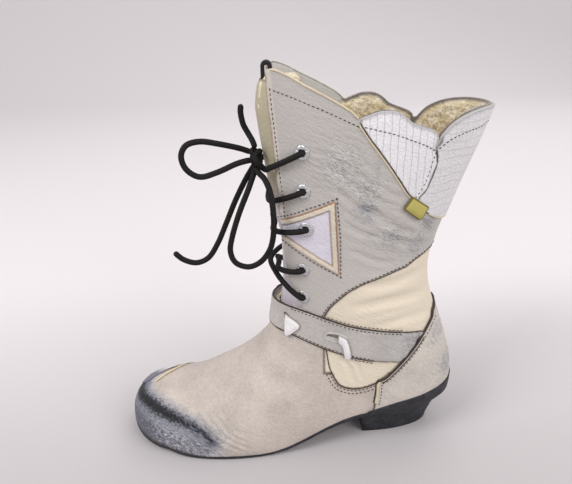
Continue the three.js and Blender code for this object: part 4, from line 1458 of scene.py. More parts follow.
# The triangular patches under the third eyelets: lilac-white leather let into a folded frame of
# cream leather, whose turned edge is orange.
PATCH_LIFT = 1.3  # what the frame adds under the third eyelet
PATCH = [[0.944, 1.482], [0.694, 1.569], [0.669, 1.288], [0.926, 1.402]]
FRAME_WIDTH = 4
patch_outline = np.array(side(PATCH))
patch_look = tanned(
    "lilac_leather", "d6d1db", [("edge", FRAME_WIDTH + 1.0, FRAME_WIDTH, "8f8799", 1.5, 0.4)], blotch=0.1
)
frame_look = tanned(
    "folded_cream_leather",
    "d6ccbc",
    [
        ("edge", 0.7, 0.1, "9a6d48", 1.5, 0.5),
        ("edge", FRAME_WIDTH - 0.9, FRAME_WIDTH - 0.1, "a9907a", 2, 0.6),
    ],
    blotch=0.15,
)
for name, sign, opened in SIDES:
    whole = one_side(patch_outline, sign)

    def from_frame(p):
        return from_line(patch_outline, p[..., 0], p[..., 2])

    def inner_field(p):
        inside = np.minimum(whole(p), from_frame(p) - FRAME_WIDTH + 0.5)
        return np.minimum(inside, clear_of_eyelets(p))

    def frame_field(p):
        return np.minimum(whole(p), FRAME_WIDTH - from_frame(p))

    def frame_edge(p, u=None, phi=None):
        return from_frame(p)

    def folded(p):
        return 0.4 * np.sqrt(np.clip(from_frame(p) * (FRAME_WIDTH - from_frame(p)), 0, 4))

    leaf = shell(
        f"patch_leaf_{name}",
        inner_field,
        on_layer(0.9),
        on_layer(-0.3),
        spacing=0.9,
        opened=opened,
        marks={"edge": frame_edge},
    )
    dress(leaf, patch_look, f"patch_{name}", slot="white_leather")
    frame_piece = shell(
        f"patch_frame_{name}",
        frame_field,
        on_layer(1.1, folded),
        on_layer(-0.2),
        spacing=0.8,
        opened=opened,
        marks={"edge": frame_edge},
    )
    dress(frame_piece, frame_look, f"patch_{name}", slot="white_leather")

# The side label: a folded tab of olive-yellow cotton, woven diagonally and left blank, sewn over the
# cuff's seam.
LABEL = [[0.368, 1.538], [0.328, 1.579], [0.242, 1.532], [0.283, 1.486]]
LABEL_BASE = CUFF_OUT + CLEARANCE
label_field = one_side(np.array(side(LABEL)), -1)
label_look, tree, coords = new_material("woven_cotton_label")
weave = add(
    tree,
    "ShaderNodeTexWave",
    {"Vector": coords, "Scale": TAU / (20 * 0.5 * MM), "Distortion": 0.6},
    bands_direction="DIAGONAL",
)
edge = add(tree, "ShaderNodeAttribute", attribute_name="edge").outputs["Fac"]
tone = add(
    tree,
    "ShaderNodeMix",
    {"Factor": weave.outputs["Fac"], 6: shade("a49a4c"), 7: shade("c2b76c")},
    data_type="RGBA",
).outputs[2]
share = add(tree, "ShaderNodeMapRange", {"Value": edge, "From Min": 1.1, "From Max": 0.3}).outputs[0]
tone = add(
    tree, "ShaderNodeMix", {"Factor": share, 6: tone, 7: shade("6e6430")}, data_type="RGBA"
).outputs[2]
bump = add(tree, "ShaderNodeBump", {"Height": weave.outputs["Fac"], "Strength": 0.4, "Distance": 0.0002})
finish_material(tree, {"Base Color": tone, "Roughness": 0.85, "Normal": bump.outputs[0]})
label = shell(
    "label_tab",
    label_field,
    on_layer(LABEL_BASE + 1, lambda p: 0.7 * ease(label_field(p), 0, 3)),
    on_layer(LABEL_BASE - 0.8),
    spacing=0.6,
    marks={"edge": edge_of(label_field)},
)
dress(label, label_look, "side_label", slot="label")

# The toe crescent: a sliver of white leather sewn over the inner side of the toe. Its rows are a
# station along the foot and a share of the ball's width.
TOE_CRESCENT = [
    [1.89, 0.05],
    [1.79, 0.15],
    [1.67, 0.32],
    [1.53, 0.44],
    [1.42, 0.48],
    [1.36, 0.6],
    [1.62, 0.6],
    [1.76, 0.37],
    [1.87, 0.22],
    [1.94, 0.08],
]
crescent_outline = np.array([[station(s), share * BALL_WIDTH] for s, share in TOE_CRESCENT])


def crescent_field(p):
    x, y, z = p[..., 0], p[..., 1], p[..., 2]
    above = z - sole_height(x) - SOLE_THICKNESS - CLEARANCE
    return np.minimum(np.minimum(within(crescent_outline, x, y), above), y - 1)


crescent = shell(
    "toe_crescent_leaf",
    crescent_field,
    on_layer(CUFF_OUT),
    on_layer(-0.3),
    marks={"edge": edge_of(crescent_field), "tip": lambda p, u, phi: p[..., 0] + 0.4 * p[..., 1]},
)
crescent_look = tanned(
    "toe_white_nappa",
    "e2dfe0",
    [("edge", 0.7, 0.05, "8a8079", 1.2, 0.3), ("tip", -192, -206, "6f6f7d", 2.4, 6)],
    rough=0.55,
)
dress(crescent, crescent_look, "toe_crescent", slot="white_leather")

# The sole: a sheet of black rubber 4 mm thick, cut to the upper's outline and cemented under it. It
# rises with the toe's spring and over the heel.


def slab(name, offset, low, high, spacing, relief=None):
    """What lies between two heights over the sole's underside, inside an offset of the surface."""

    def field(p):
        return sole_height(p[..., 0]) + high - p[..., 2]

    u, phi, quads, tris = trimmed(field, spacing, -RIDGE, True, offset)
    p = skin(u, phi, np.full(len(u), float(offset)))
    floor_z = sole_height(p[:, 0]) + low
    soft_edge = 0.8
    under = p.copy()
    under[:, 2] = 0.5 * (p[:, 2] + floor_z + np.sqrt((p[:, 2] - floor_z) ** 2 + soft_edge**2))
    ring = np.unique(border([f for f in (quads, tris) if len(f)]))
    under[ring, 2] = sole_height(p[ring, 0]) + high
    over = p.copy()
    over[:, 2] = sole_height(p[:, 0]) + high + (relief(p) if relief else 0)
    to_top = np.arange(len(p)) + len(p)
    to_top[ring] = ring
    kept = np.ones(2 * len(p), bool)
    kept[ring + len(p)] = False
    index = np.cumsum(kept) - 1
    faces = [index[f].tolist() for f in (quads, tris, to_top[quads[:, ::-1]], to_top[tris[:, ::-1]])]
    return made_piece(name, np.vstack([under, over])[kept] * MM, sum(faces, []))


def scuffed(name, base, worn):
    """A gritty black finish with paler scuffs, on rubber or painted board."""
    look, tree, coords = new_material(name)
    scuffs = add(
        tree, "ShaderNodeTexNoise", {"Vector": coords, "Scale": 180.0, "Detail": 6.0, "Roughness": 0.7}
    )
    grit = add(tree, "ShaderNodeTexNoise", {"Vector": coords, "Scale": 1400.0, "Detail": 2.0})
    tone = add(tree, "ShaderNodeValToRGB", {"Fac": scuffs.outputs[0]})
    tone.color_ramp.elements[0].position = 0.42
    tone.color_ramp.elements[0].color = shade(base)
    tone.color_ramp.elements[1].position = 0.8
    tone.color_ramp.elements[1].color = shade(worn)
    bump = add(tree, "ShaderNodeBump", {"Height": grit.outputs[0], "Strength": 0.35, "Distance": 0.0003})
    finish_material(tree, {"Base Color": tone.outputs[0], "Roughness": 0.6, "Normal": bump.outputs[0]})
    return look


sole_look = scuffed("black_rubber_sole", "131216", "3b3a42")
sole = slab("sole_sheet", 0, 0, SOLE_THICKNESS, 2.9)
dress(sole, sole_look, "outsole", slot="black_sole")

# The heel: a low block of black stacked leather board with a rubber top piece, a D in plan, its
# breast straight and slanting.
HEEL_SECTIONS = [
    [0, 0.503, 0.097, 0.31],
    [0.12, 0.515, 0.07, 0.335],
    [0.24, 0.535, 0.035, 0.37],
    [0.33, 0.552, 0.012, 0.4],
    [0.45, 0.57, -0.01, 0.43],
]
HEEL_SQUARE = 2.1
GROOVE = (0.205, 0.215)  # between the top piece and the block, as shares of the height
TOP_PIECE_LEVELS = [0, 0.004, 0.02, *np.linspace(0.05, 0.195, 8), 0.2]
BLOCK_LEVELS = [0.22, *np.linspace(0.24, 1, 22)]
table = np.array(HEEL_SECTIONS)
turns = np.linspace(0, math.pi, 61)
reach = np.sin(turns) ** (2 / HEEL_SQUARE)
across = np.sign(np.cos(turns)) * np.abs(np.cos(turns)) ** (2 / HEEL_SQUARE)
breast = np.linspace(1, -1, 22)[1:-1]
reach = np.concatenate([reach, np.zeros(len(breast))])
across = np.concatenate([across, -breast])
heel_rings = []
for share in [*TOP_PIECE_LEVELS, *GROOVE, *BLOCK_LEVELS]:
    z = np.full(len(reach), share * HEEL_HEIGHT)
    for _ in range(5):
        row = blend(table[:, 1:], np.interp(z / INSTEP_HEIGHT, table[:, 0], np.arange(len(table))))
        x = depth(row[:, 0]) + (depth(row[:, 1]) - depth(row[:, 0])) * reach
        z = share * (sole_height(x) - 0.05)
    middle = depth((row[:, 0] + row[:, 1]) / 2)
    shrink = 0.985 if share == 0 else 0.993 if share in GROOVE else 1
    bow = 1 + 0.004 * math.sin(share * 40) * (share > 0.25)
    y = -row[:, 2] * SHAFT_WIDTH * across * shrink * bow
    heel_rings.append(np.stack([middle + (x - middle) * shrink * bow, y, z], 1))
rings = np.array(heel_rings)
count, around = rings.shape[:2]
heel = made_piece("heel_stack", rings.reshape(-1, 3) * MM, tube_faces(count, around, flipped=True))
for face in list(heel.data.polygons)[-2:]:
    face.use_smooth = False
heel_look = scuffed("black_heel_board", "111115", "3a3a44")
dress(heel, heel_look, "heel", slot="black_sole")

# The heel's cup: a thin black skin with the heel's own finish, drawn up round the back of the
# counter. Its upper edge is given in x and z.
CUP_FRONT = -31
CUP_EDGE = [[-32, 31.5], [-21.7, 35.8], [-6, 41], [13.9, 45], [25.4, 47.5], [50, 52]]


def cup_field(p):
    x, z = p[..., 0], p[..., 2]
    low = z - sole_height(x) - SOLE_THICKNESS - CLEARANCE
    return np.minimum(np.minimum(np.interp(x, *np.transpose(CUP_EDGE)) - z, low), x - CUP_FRONT)


cup = shell(
    "heel_cup", cup_field, on_layer(COUNTER_OUT + 0.9), on_layer(COUNTER_OUT - 0.5), opened=RIDGE, bulge=0.2
)
dress(cup, heel_look, slot="black_sole")

# The fleece: curly sheepskin pile behind the whole of the leather, on the insole and on the tongue.
# Its nap stands in from the leather, and single curls are strewn where it shows.
CURL_WAVES = random.normal(size=(26, 3))
CURL_WAVES *= (TAU / random.uniform(5, 11, 26) / np.linalg.norm(CURL_WAVES, axis=1))[:, None]
CURL_PHASES = random.uniform(0, TAU, 26)


def woolly(p):
    """Ridged clumps of pile, between about 0 and 1."""
    total = sum(np.sin(p @ w + h) for w, h in zip(CURL_WAVES, CURL_PHASES)) / 5
    return 1 - np.minimum(np.abs(total), 1)


# The flaps' corners are faced with grey leather instead: in front of this x and above this height.
FACED_TO, FACED_FROM = -47, 226
# How far in from the throat's and the collar's edges each stops.
LINING_IN, FACING_IN = (1.2, 0.3), (0.8, 0.4)


def lining_field(p):
    x, z = p[..., 0], p[..., 2]
    f = np.minimum(z - sole_height(x) - SOLE_THICKNESS - 1, -within(throat_outline, x, z) - LINING_IN[0])
    f = np.minimum(f, -within(collar_outline, x, z) - LINING_IN[1])
    return np.minimum(f, np.maximum(x - FACED_TO, FACED_FROM - z))


def facing_field(p):
    x, z = p[..., 0], p[..., 2]
    from_throat, from_collar = -within(throat_outline, x, z), -within(collar_outline, x, z)
    f = np.minimum(from_throat - FACING_IN[0], from_collar - FACING_IN[1])
    f = np.minimum(f, clear_of_eyelets(p))
    return np.minimum(f, np.minimum(FACED_TO + 1 - x, z - FACED_FROM + 1))


FLEECE, NAP = 2.0, 1.9
PILE_RIM = 9.0  # mm under the collar, where the pile is neither darkened at the edge nor given painted shade
fleece_look, tree, coords = new_material("sheepskin_fleece")
clumps = add(
    tree, "ShaderNodeTexNoise", {"Vector": coords, "Scale": 160.0, "Detail": 5.0, "Roughness": 0.65}
)
curls = add(
    tree,
    "ShaderNodeTexVoronoi",
    {"Vector": coords, "Scale": 1 / (2.0 * MM)},
    feature="SMOOTH_F1",
)
tone = add(tree, "ShaderNodeValToRGB", {"Fac": clumps.outputs[0]})
tone.color_ramp.elements[0].position = 0.3
tone.color_ramp.elements[0].color = shade("cdb98c")
tone.color_ramp.elements[1].position = 0.68
tone.color_ramp.elements[1].color = shade("f2e9d4")
# Deeper than PILE_RIM under the collar the pile is painted darker and more tan: painted shade inside the
# boot.
rim = add(tree, "ShaderNodeAttribute", attribute_name="rim").outputs["Fac"]
deep = add(
    tree, "ShaderNodeMapRange", {"Value": rim, "From Min": PILE_RIM, "From Max": 34.0, "To Max": 0.75}
).outputs[0]
tone = add(
    tree, "ShaderNodeMix", {"Factor": deep, 6: tone.outputs[0], 7: shade("c0995c")}, data_type="RGBA"
).outputs[2]
# The pile is darker grey-brown within 3 mm of the collar's edge.
darker_at_collar_edge = add(tree, "ShaderNodeMapRange", {"Value": rim, "From Min": 3.0, "From Max": 0.9}).outputs[0]
tone = add(
    tree, "ShaderNodeMix", {"Factor": darker_at_collar_edge, 6: tone, 7: shade("6b635b")}, data_type="RGBA"
).outputs[2]
bump = add(tree, "ShaderNodeBump", {"Height": curls.outputs[0], "Strength": 0.8, "Distance": 0.0012})
finish_material(
    tree,
    {
        "Base Color": tone,
        "Roughness": 0.95,
        "Normal": bump.outputs[0],
        "Specular IOR Level": 0.15,
        "Sheen Weight": 0.5,
        "Sheen Roughness": 0.6,
    },
)


def lining_rim(p, u, phi):
    """Under the collar, but near the throat the pile stays as pale as it is at the top, without the painted
    shade of the deep pile.
    """
    return np.minimum(below_collar(p), PILE_RIM + 1 + 60 * ease(p[..., 0], -90, -70))


lining = shell(
    "fleece_lining",
    lining_field,
    -LEATHER + 0.1,
    lambda p, u, phi: -LEATHER - FLEECE - NAP * woolly(p),
    spacing=2.7,
    closed=True,
    bulge=0.9,
    marks={"rim": lining_rim},
)
dress(lining, fleece_look, slot="fleece")
facing = shell(
    "flap_facing",
    facing_field,
    -LEATHER + 0.1,
    lambda p, u, phi: -LEATHER - 1.5 + 0.2 * uneven(p, 3),
    spacing=1.5,
    closed=True,
    marks={"rim": below_collar},
)
facing_look = tanned(
    "flap_facing_leather",
    "c4c1bc",
    [("rim", 11.2, 11.8, "aaa69f", 1.5, 0.3), ("rim", 1.2, 0.2, "4a4642", 1.5, 0.5)],
    blotch=0.12,
)
dress(facing, facing_look, slot="grey_leather")
insole = slab(
    "insole_fleece", -WALL - CLEARANCE, SOLE_THICKNESS + 0.3, SOLE_THICKNESS + 2.8, 3.2,
    lambda p: 1.4 * woolly(p),
)
dress(insole, fleece_look, "insole", slot="fleece")

# The tongue: a thick pad of sheepskin with its leather face out, rising from under the strap to
# just above the flaps and swelling between them.
TONGUE_SECTIONS = [
    [8.2, 0, -1.4],
    [9.6, 0.6, -1.8],
    [11, 1, -2],
    [13.5, 1, -2.4],
    [15.4, 1, -1.6],
    [16.4, 1, 0.6],
    [17.3, 1, 2.6],
    [18.3, 1, 3.6],
    [19.4, 1, 3.9],
]
TONGUE_HALF = 0.29 * math.pi
TONGUE_SWELL = 0.2 * math.pi
TONGUE_THICKNESS = 7
INSIDE_GAP = 0.8
EYELET_RIM = 0.8
TONGUE_SEAT = -WALL - INSIDE_GAP
TONGUE_BACK = EYELET_RIM + 2 * CLEARANCE
TONGUE_LEAN = 5.5  # how far its top edge bends back towards the leg
TONGUE_LEAN_FROM = 22
tongue_table = np.array(TONGUE_SECTIONS)


def tongue_offset(u, phi):
    at = np.interp(u, tongue_table[:, 0], np.arange(len(tongue_table)))
    held, out = np.moveaxis(blend(tongue_table[:, 1:], at), -1, 0)
    away = np.minimum(np.abs(phi - RIDGE) / TONGUE_SWELL, 1)
    return TONGUE_SEAT - TONGUE_BACK * held + out * np.cos(away * math.pi / 2) ** 2


def pad(name, u_span, half, front, thick, rows, cols, square, relief=None):
    """A closed pad round the front of the last: its face is front mm out from the tongue's."""
    u = np.linspace(*u_span, rows)
    theta = np.linspace(0, TAU, cols, endpoint=False)
    c, s = np.cos(theta), np.sin(theta)
    across = np.sign(c) * np.abs(c) ** square
    deep = np.sign(s) * np.abs(s) ** square
    U = np.repeat(u[:, None], cols, 1)
    arc = np.linalg.norm(np.diff(surface(u, np.full(rows, RIDGE)), axis=0), axis=1)
    arc = np.concatenate([[0], np.cumsum(arc)])
    near = np.clip(np.minimum(arc, arc[-1] - arc) / (thick / 2), 0, 1)
    tuck = np.sqrt(np.clip(1 - (1 - near) ** 2, 0.01, 1))[:, None]
    P = RIDGE + half * across[None] * (0.9 + 0.1 * tuck)
    to_top = (arc[-1] - arc)[:, None]
    lean = TONGUE_LEAN * np.clip(1 - to_top / TONGUE_LEAN_FROM, 0, 1) ** 1.6
    off = tongue_offset(U, P) + front - lean - thick / 2 + thick / 2 * deep[None] * tuck
    p = skin(U, P, off)
    if relief is not None:
        p = p + normal(U, P) * (relief(p) * np.sign(deep)[None] * tuck)[..., None]
    piece = made_piece(name, p.reshape(-1, 3) * MM, tube_faces(rows, cols, flipped=True))
    set_mark(piece, "rim", np.full(rows * cols, PILE_RIM))
    set_mark(piece, "top", to_top + 0 * P)
    return piece


span = [tongue_table[0, 0], tongue_table[-1, 0]]
tongue_fleece = pad(
    "tongue_fleece", span, TONGUE_HALF, -0.7, TONGUE_THICKNESS - 0.7, 130, 96, 0.6,
    lambda p: 0.9 * woolly(p) - 0.5,
)
dress(tongue_fleece, fleece_look, "tongue", slot="fleece")
tongue_leather = pad(
    "tongue_leather", [span[0], span[1] - 0.03], TONGUE_HALF * 0.86, 0.2, 1.5, 120, 72, 0.45,
    lambda p: 0.25 * uneven(p, 2),
)
# Over its upper 70 mm the tongue is painted a darker olive cream: cream leather with painted shade, where
# it sits back between the flaps. Its top 2 mm are darker still: painted shade under its bent edge.
tongue_look = tanned(
    "tongue_leather",
    "dbd3dc",
    [("top", 100, 70, "b5ac92", 4, 12), ("top", 2.0, 0.3, "8a7f6c", 1.5, 0.8)],
    blotch=0.14,
)
dress(tongue_leather, tongue_look, "tongue", slot="white_leather")

# The pull loop: a black cotton tape, woven diagonally, folded double and sewn to the tongue's top
# edge.
low, high = (np.array(corner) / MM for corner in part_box("pull_loop"))
TAPE = 2.9
ARCH_TURNS = np.linspace(0.3, math.pi - 0.3, 7)
half_deep = (high[0] - low[0]) / 2 - TAPE / 2
middle = (low + high) / 2
middle[0] += 4  # over the tongue's bent edge
bend = high[2] - TAPE / 2 - half_deep
arch = [[-half_deep, low[2] - 6], [-half_deep, low[2] - 1], [-half_deep, bend]]
arch += [[-half_deep * math.cos(a), bend + half_deep * math.sin(a)] for a in ARCH_TURNS]
arch += [[half_deep, bend], [half_deep, low[2] - 1], [half_deep, low[2] - 6]]
line = smooth(arch, 5)
run = np.gradient(line, axis=0)
run /= np.linalg.norm(run, axis=1, keepdims=True)
theta = np.linspace(0, TAU, 20, endpoint=False)
flat = np.sign(np.cos(theta)) * np.abs(np.cos(theta)) ** 0.3 * (high[1] - low[1]) / 2
thick = np.sign(np.sin(theta)) * np.abs(np.sin(theta)) ** 0.6 * TAPE / 2
verts = [
    [middle[0] + x - rz * h, middle[1] + w, z + rx * h]
    for (x, z), (rx, rz) in zip(line, run)
    for w, h in zip(flat, thick)
]
pull = made_piece("pull_tape", np.array(verts) * MM, tube_faces(len(line), len(theta)))
tape_look, tree, coords = new_material("black_cotton_tape")
weave = add(
    tree, "ShaderNodeTexWave", {"Vector": coords, "Scale": TAU / (20 * 0.8 * MM), "Distortion": 0.5},
    bands_direction="DIAGONAL",
)
bump = add(tree, "ShaderNodeBump", {"Height": weave.outputs["Fac"], "Strength": 0.5, "Distance": 0.0003})
finish_material(tree, {"Base Color": shade("121013"), "Roughness": 0.8, "Normal": bump.outputs[0]})
dress(pull, tape_look, "pull_loop", slot="lace")

# The eyelets: nickel-plated brass, five a side, each with a domed flange outside, pressed into
# petals, and a smaller one inside.
EYELET_BORE = 4.4
EYELET_BARREL = 6.2
EYELET_FLANGE = 10.6
EYELET_TURNS = 48
PETALS = 6
eyelet_look, tree, coords = new_material("nickel_plated_brass")
dull = add(tree, "ShaderNodeTexNoise", {"Vector": coords, "Scale": 900.0, "Detail": 3.0})
rough = add(
    tree,
    "ShaderNodeMapRange",
    {"Value": dull.outputs[0], "From Min": 0.3, "From Max": 0.7, "To Min": 0.22, "To Max": 0.42},
)
finish_material(tree, {"Base Color": shade("d2d3d6"), "Metallic": 1.0, "Roughness": rough.outputs[0]})
for (name, sign, opened), (seat_u, seat_phi) in zip(SIDES, eyelet_seats):
    for i in range(len(EYELETS)):
        top = CLEARANCE + (PATCH_LIFT if i == PATCHED_EYELET else 0)
        foot = -WALL - INSIDE_GAP
        bore, barrel, flange = EYELET_BORE / 2, EYELET_BARREL / 2, EYELET_FLANGE / 2
        profile = np.array(
            [
                [bore, foot - 0.8],
                [bore, top + 0.2],
                [bore + 0.15, top + 0.6],
                [bore + 0.6, top + EYELET_RIM],
                [bore + 1.3, top + EYELET_RIM - 0.02],
                [flange - 0.9, top + 0.5],
                [flange - 0.2, top + 0.2],
                [flange, top - 0.05],
                [flange - 0.4, top - 0.25],
                [barrel, top - 0.25],
                [barrel, foot],
                [flange - 1, foot],
                [flange - 1, foot - 0.8],
            ]
        )
        turn_angle = np.linspace(0, TAU, EYELET_TURNS, endpoint=False)
        u, phi = seat_u[i], seat_phi[i]
        centre, out = surface(u, phi), normal(u, phi)
        first = np.cross(out, [0, 0, 1.0])
        first /= np.linalg.norm(first)
        second = np.cross(out, first)
        lobe = np.abs(np.cos(PETALS / 2 * turn_angle)) ** 0.25
        verts = []
        for k, (r, h) in enumerate(profile):
            petal = lobe if 3 <= k <= 5 else np.ones(EYELET_TURNS)
            radius = r * (1 - 0.02 * (1 - petal))
            height = h - 0.6 * (1 - petal)
            ring = np.cos(turn_angle)[:, None] * first + np.sin(turn_angle)[:, None] * second
            verts.append(centre + ring * radius[:, None] + out * height[:, None])
        n, m = len(profile), EYELET_TURNS
        faces = [
            (k * m + j, k * m + (j + 1) % m, ((k + 1) % n) * m + (j + 1) % m, ((k + 1) % n) * m + j)
            for k in range(n)
            for j in range(m)
        ]
        ring_piece = made_piece(f"eyelet_ring_{name}_{i + 1}", np.vstack(verts) * MM, faces)
        dress(ring_piece, eyelet_look, f"eyelet_{name}_{i + 1}", slot="eyelet")

# The lace as it is drawn through the eyelets: two bars, a cross at the foot, and from the top pair
# of eyelets one length each side to the knot.
LACE_LIFT = LACE_RADIUS + EYELET_RIM + 3 * CLEARANCE
LACE_DIP = 0.15 * math.pi
LACE_LOW = 0.03 * math.pi
LACE_STATIONS = [0.16, 0.3, 0.45, 0.62, 0.8, 0.92]
LACE_TURN = LACE_LIFT - 0.6 * LACE_RADIUS
LACE_SAG = 0.6
LACE_RELAX = 420
LACE_TAIL = 0.6  # how far the hidden end stands in from the eyelet
SIDE_OF_KNOT = (2.3, 1.2)  # where the top laces run in, in knot sizes
CROSS_UNDER, CROSS_OVER = 0.12, 0.9  # how much of the flaps' height each crossing lace keeps


def over_flap(u, phi, lift, least=0):
    """A lace's point over the flaps. least keeps a drawn one from dipping to the tongue."""
    on_tongue = tongue_offset(u, phi) + LACE_RADIUS + 2 * CLEARANCE
    share = np.maximum(ease(abs(phi - RIDGE), LACE_LOW, LACE_DIP), least)
    return skin(u, phi, on_tongue + (LACE_LIFT + lift - on_tongue) * share)


def lace_run(side_index, row, crossing_u, stations=LACE_STATIONS, least=0):
    u, phi = eyelet_seats[side_index][0][row], eyelet_seats[side_index][1][row]
    lift = PATCH_LIFT if row == PATCHED_EYELET else 0
    points = [
        skin(u, phi, offset)
        for offset in (-WALL - INSIDE_GAP - EYELET_RIM - LACE_TAIL, -WALL, 0, LACE_TURN + lift)
    ]
    for t in stations:
        over = lift * min(1.15, 1.8 * (1 - t))
        at = u + (crossing_u - u) * math.sin(t * math.pi / 2)
        points.append(over_flap(at, phi + (RIDGE - phi) * t, over, least))
    return points


def row_section(row):
    return (eyelet_seats[0][0][row] + eyelet_seats[1][0][row]) / 2


def lace_bar(name, outer_row, inner_row, crossing_u, *nodes, least=0):
    there = lace_run(0, outer_row, crossing_u, least=least)
    here = lace_run(1, inner_row, crossing_u, least=least)[::-1]
    route = [*there, over_flap(crossing_u, RIDGE, 0, least), *here]
    piece, _ = lace_piece(name, route, LACE_RELAX)
    return dress(piece, lace_look, *nodes, slot="lace")


for row in (1, 2):
    lace_bar(f"lace_row_{row + 1}", row, row, row_section(row) - LACE_SAG, f"lace_bar_{row + 1}")
crossing = (row_section(3) + row_section(4)) / 2
lace_bar("lace_cross_down", 3, 4, crossing, "lace_cross", least=CROSS_UNDER)
lace_bar("lace_cross_up", 4, 3, crossing, "lace_cross", least=CROSS_OVER)
for k, (name, sign, opened) in enumerate(SIDES):
    run = lace_run(k, 0, eyelet_seats[k][0][0] - LACE_SAG, LACE_STATIONS[:4])
    ends = [KNOT + np.array([0, sign * share * KNOT_SIZE, 0]) for share in SIDE_OF_KNOT]
    piece, _ = lace_piece(f"lace_to_knot_{name}", [*run, *ends])
    dress(piece, lace_look, f"lace_top_{name}", slot="lace")

# The piping and cords of the seams: dark brown leather round the counter, cream at the seams of
# the cuff and the toe, and the turned edge of the strap's rear slot, in x and z.
BUTTONHOLE_AT, BUTTONHOLE_HALF, BUTTONHOLE_FALL = (-56.7, 103.6), (8.2, 3.9), 1.2


def joined(name, tubes, look, slot_name):
    """Several tubes as one piece. Each row has its points and its radius."""
    verts, faces = [], []
    for points, radius in tubes:
        piece, _ = tube_mesh("part", points, radius, 10, 1.2)
        start = len(verts)
        verts += [v.co[:] for v in piece.data.vertices]
        faces += [tuple(start + v for v in f.vertices) for f in piece.data.polygons]
        bpy.data.objects.remove(piece)
    return dress(made_piece(name, verts, faces), look, slot=slot_name)


def laid(line, sign, lift):
    """A line of x and z laid on a side of the boot, lifted by so many mm."""
    u, phi = on_side(line, sign)
    p = surface(u, phi)
    return skin(u, phi, lift + soft(p))


def shifted(line, by):
    """The line moved sideways, to the left of its run."""
    line = np.asarray(line, float)
    run = np.gradient(line, axis=0)
    run /= np.maximum(np.linalg.norm(run, axis=1, keepdims=True), 1e-9)
    return line + by * np.stack([-run[:, 1], run[:, 0]], 1)


def thinned(line, step=4):
    arc = np.concatenate([[0], np.cumsum(np.linalg.norm(np.diff(line, axis=0), axis=1))])
    count = max(int(arc[-1] / step), 2)
    at = np.linspace(0, arc[-1], count + 1)
    return np.stack([np.interp(at, arc, line[:, k]) for k in range(2)], 1)


def only(line, keep):
    return np.array([row for row in line if keep(*row)])


brown_look = tanned("brown_piping_leather", "3a2a22", [], rough=0.5, grain=0.7, blotch=0.3)
cord_look = tanned("cream_cord_leather", "dccdb0", [], rough=0.6, grain=0.7, blotch=0.2)
counter_front = only(counter_edge, lambda x, z: x < 30 and z > 24)
upper_run = only(counter_front, lambda x, z: z > 62)
lower_run = only(counter_front, lambda x, z: 37 < z < 64)
turn_of = np.linspace(0, TAU, 25)
hole_x = BUTTONHOLE_AT[0] + BUTTONHOLE_HALF[0] * np.cos(turn_of)
hole_z = BUTTONHOLE_AT[1] + BUTTONHOLE_HALF[1] * np.sin(turn_of) - BUTTONHOLE_FALL * np.cos(turn_of)
buttonhole = np.stack([hole_x, hole_z], 1)
cuff_cord = only(back_cuff_foot, lambda x, z: z < 211 and x < 50 and x > 5)
strap_edges = [only(line, lambda x, z: x > -110) for line in (strap_top, strap_bottom)]
# Columns: the line, how far it is moved sideways, its height over the upper, its radius.
BROWN_CORDS = [
    (upper_run, 0, 1.4, 0.85),
    (only(upper_run, lambda x, z: z < 100), 2.4, 1.5, 0.45),
    (lower_run, -1.1, 0.7, 0.5),
    (strap_edges[0], 0, 1.3, 0.42),
    (strap_edges[1], 0, 1.3, 0.42),
    (CREAM_TOP, 0, 0.3, 0.4),
    (CREAM_FOOT, 0, 0.3, 0.4),
    (cuff_foot, 0, 0.75, 0.5),
]
PALE_CORDS = [
    (lower_run, 0.6, 1.3, 0.95),
    (cuff_foot, 1.2, 0.4, 0.6),
    (cuff_cord, 0, 0.9, 0.75),
    (only(flap_top, lambda x, z: x > -102), 0, 0.2, 0.7),
]
LIP_LIFT, LIP_RADIUS = STRAP_OUT + 0.2, 0.8


def cords_of(rows):
    """The rows' cords, on one side and then on the other."""
    return [
        (laid(thinned(shifted(line, by)), sign, lift), radius)
        for _, sign, _ in SIDES
        for line, by, lift, radius in rows
    ]


brown, pale = cords_of(BROWN_CORDS), cords_of(PALE_CORDS)
lips = [(laid(buttonhole, sign, LIP_LIFT), LIP_RADIUS) for _, sign, _ in SIDES]
toe_line = np.array([[-208.5, 0], [-204.5, 5], [-199, 11.5], [-192.5, 18.5], [-186, 27]])
u, phi = on_top(thinned(toe_line, 3))
pale.append((skin(u, phi, 1.1 + soft(surface(u, phi))), 0.8))
joined("dark_piping", brown, brown_look, "grey_leather")
joined("pale_piping", pale, cord_look, "grey_leather")
joined("slot_lips", lips, tanned("turned_slot_edge", "c2beba", []), "grey_leather")

# The stitches: waxed linen thread, dark brown with an orange core, about eight to the inch. One tree
# lays a stitch at each pitch along the rows.
STITCH_PITCH = 3.1
STITCH_LENGTH = 2.1
STITCH_RADIUS = 0.34
thread_look, tree, coords = new_material("waxed_linen_thread")
patches = add(tree, "ShaderNodeTexNoise", {"Vector": coords, "Scale": 260.0, "Detail": 2.0})
tone = add(tree, "ShaderNodeValToRGB", {"Fac": patches.outputs[0]})
tone.color_ramp.elements[0].position = 0.5
tone.color_ramp.elements[0].color = shade("241813")
tone.color_ramp.elements[1].position = 0.72
tone.color_ramp.elements[1].color = shade("7c4f33")
finish_material(tree, {"Base Color": tone.outputs[0], "Roughness": 0.6})


def evaluated(holder, name):
    """What the holder's modifiers make, as a plain mesh piece. The holder goes."""
    depsgraph = bpy.context.evaluated_depsgraph_get()
    mesh = bpy.data.meshes.new_from_object(holder.evaluated_get(depsgraph))
    mesh.name = name
    holder.modifiers.clear()
    bpy.data.objects.remove(holder)
    piece = bpy.data.objects.new(name, mesh)
    bpy.context.scene.collection.objects.link(piece)
    return piece


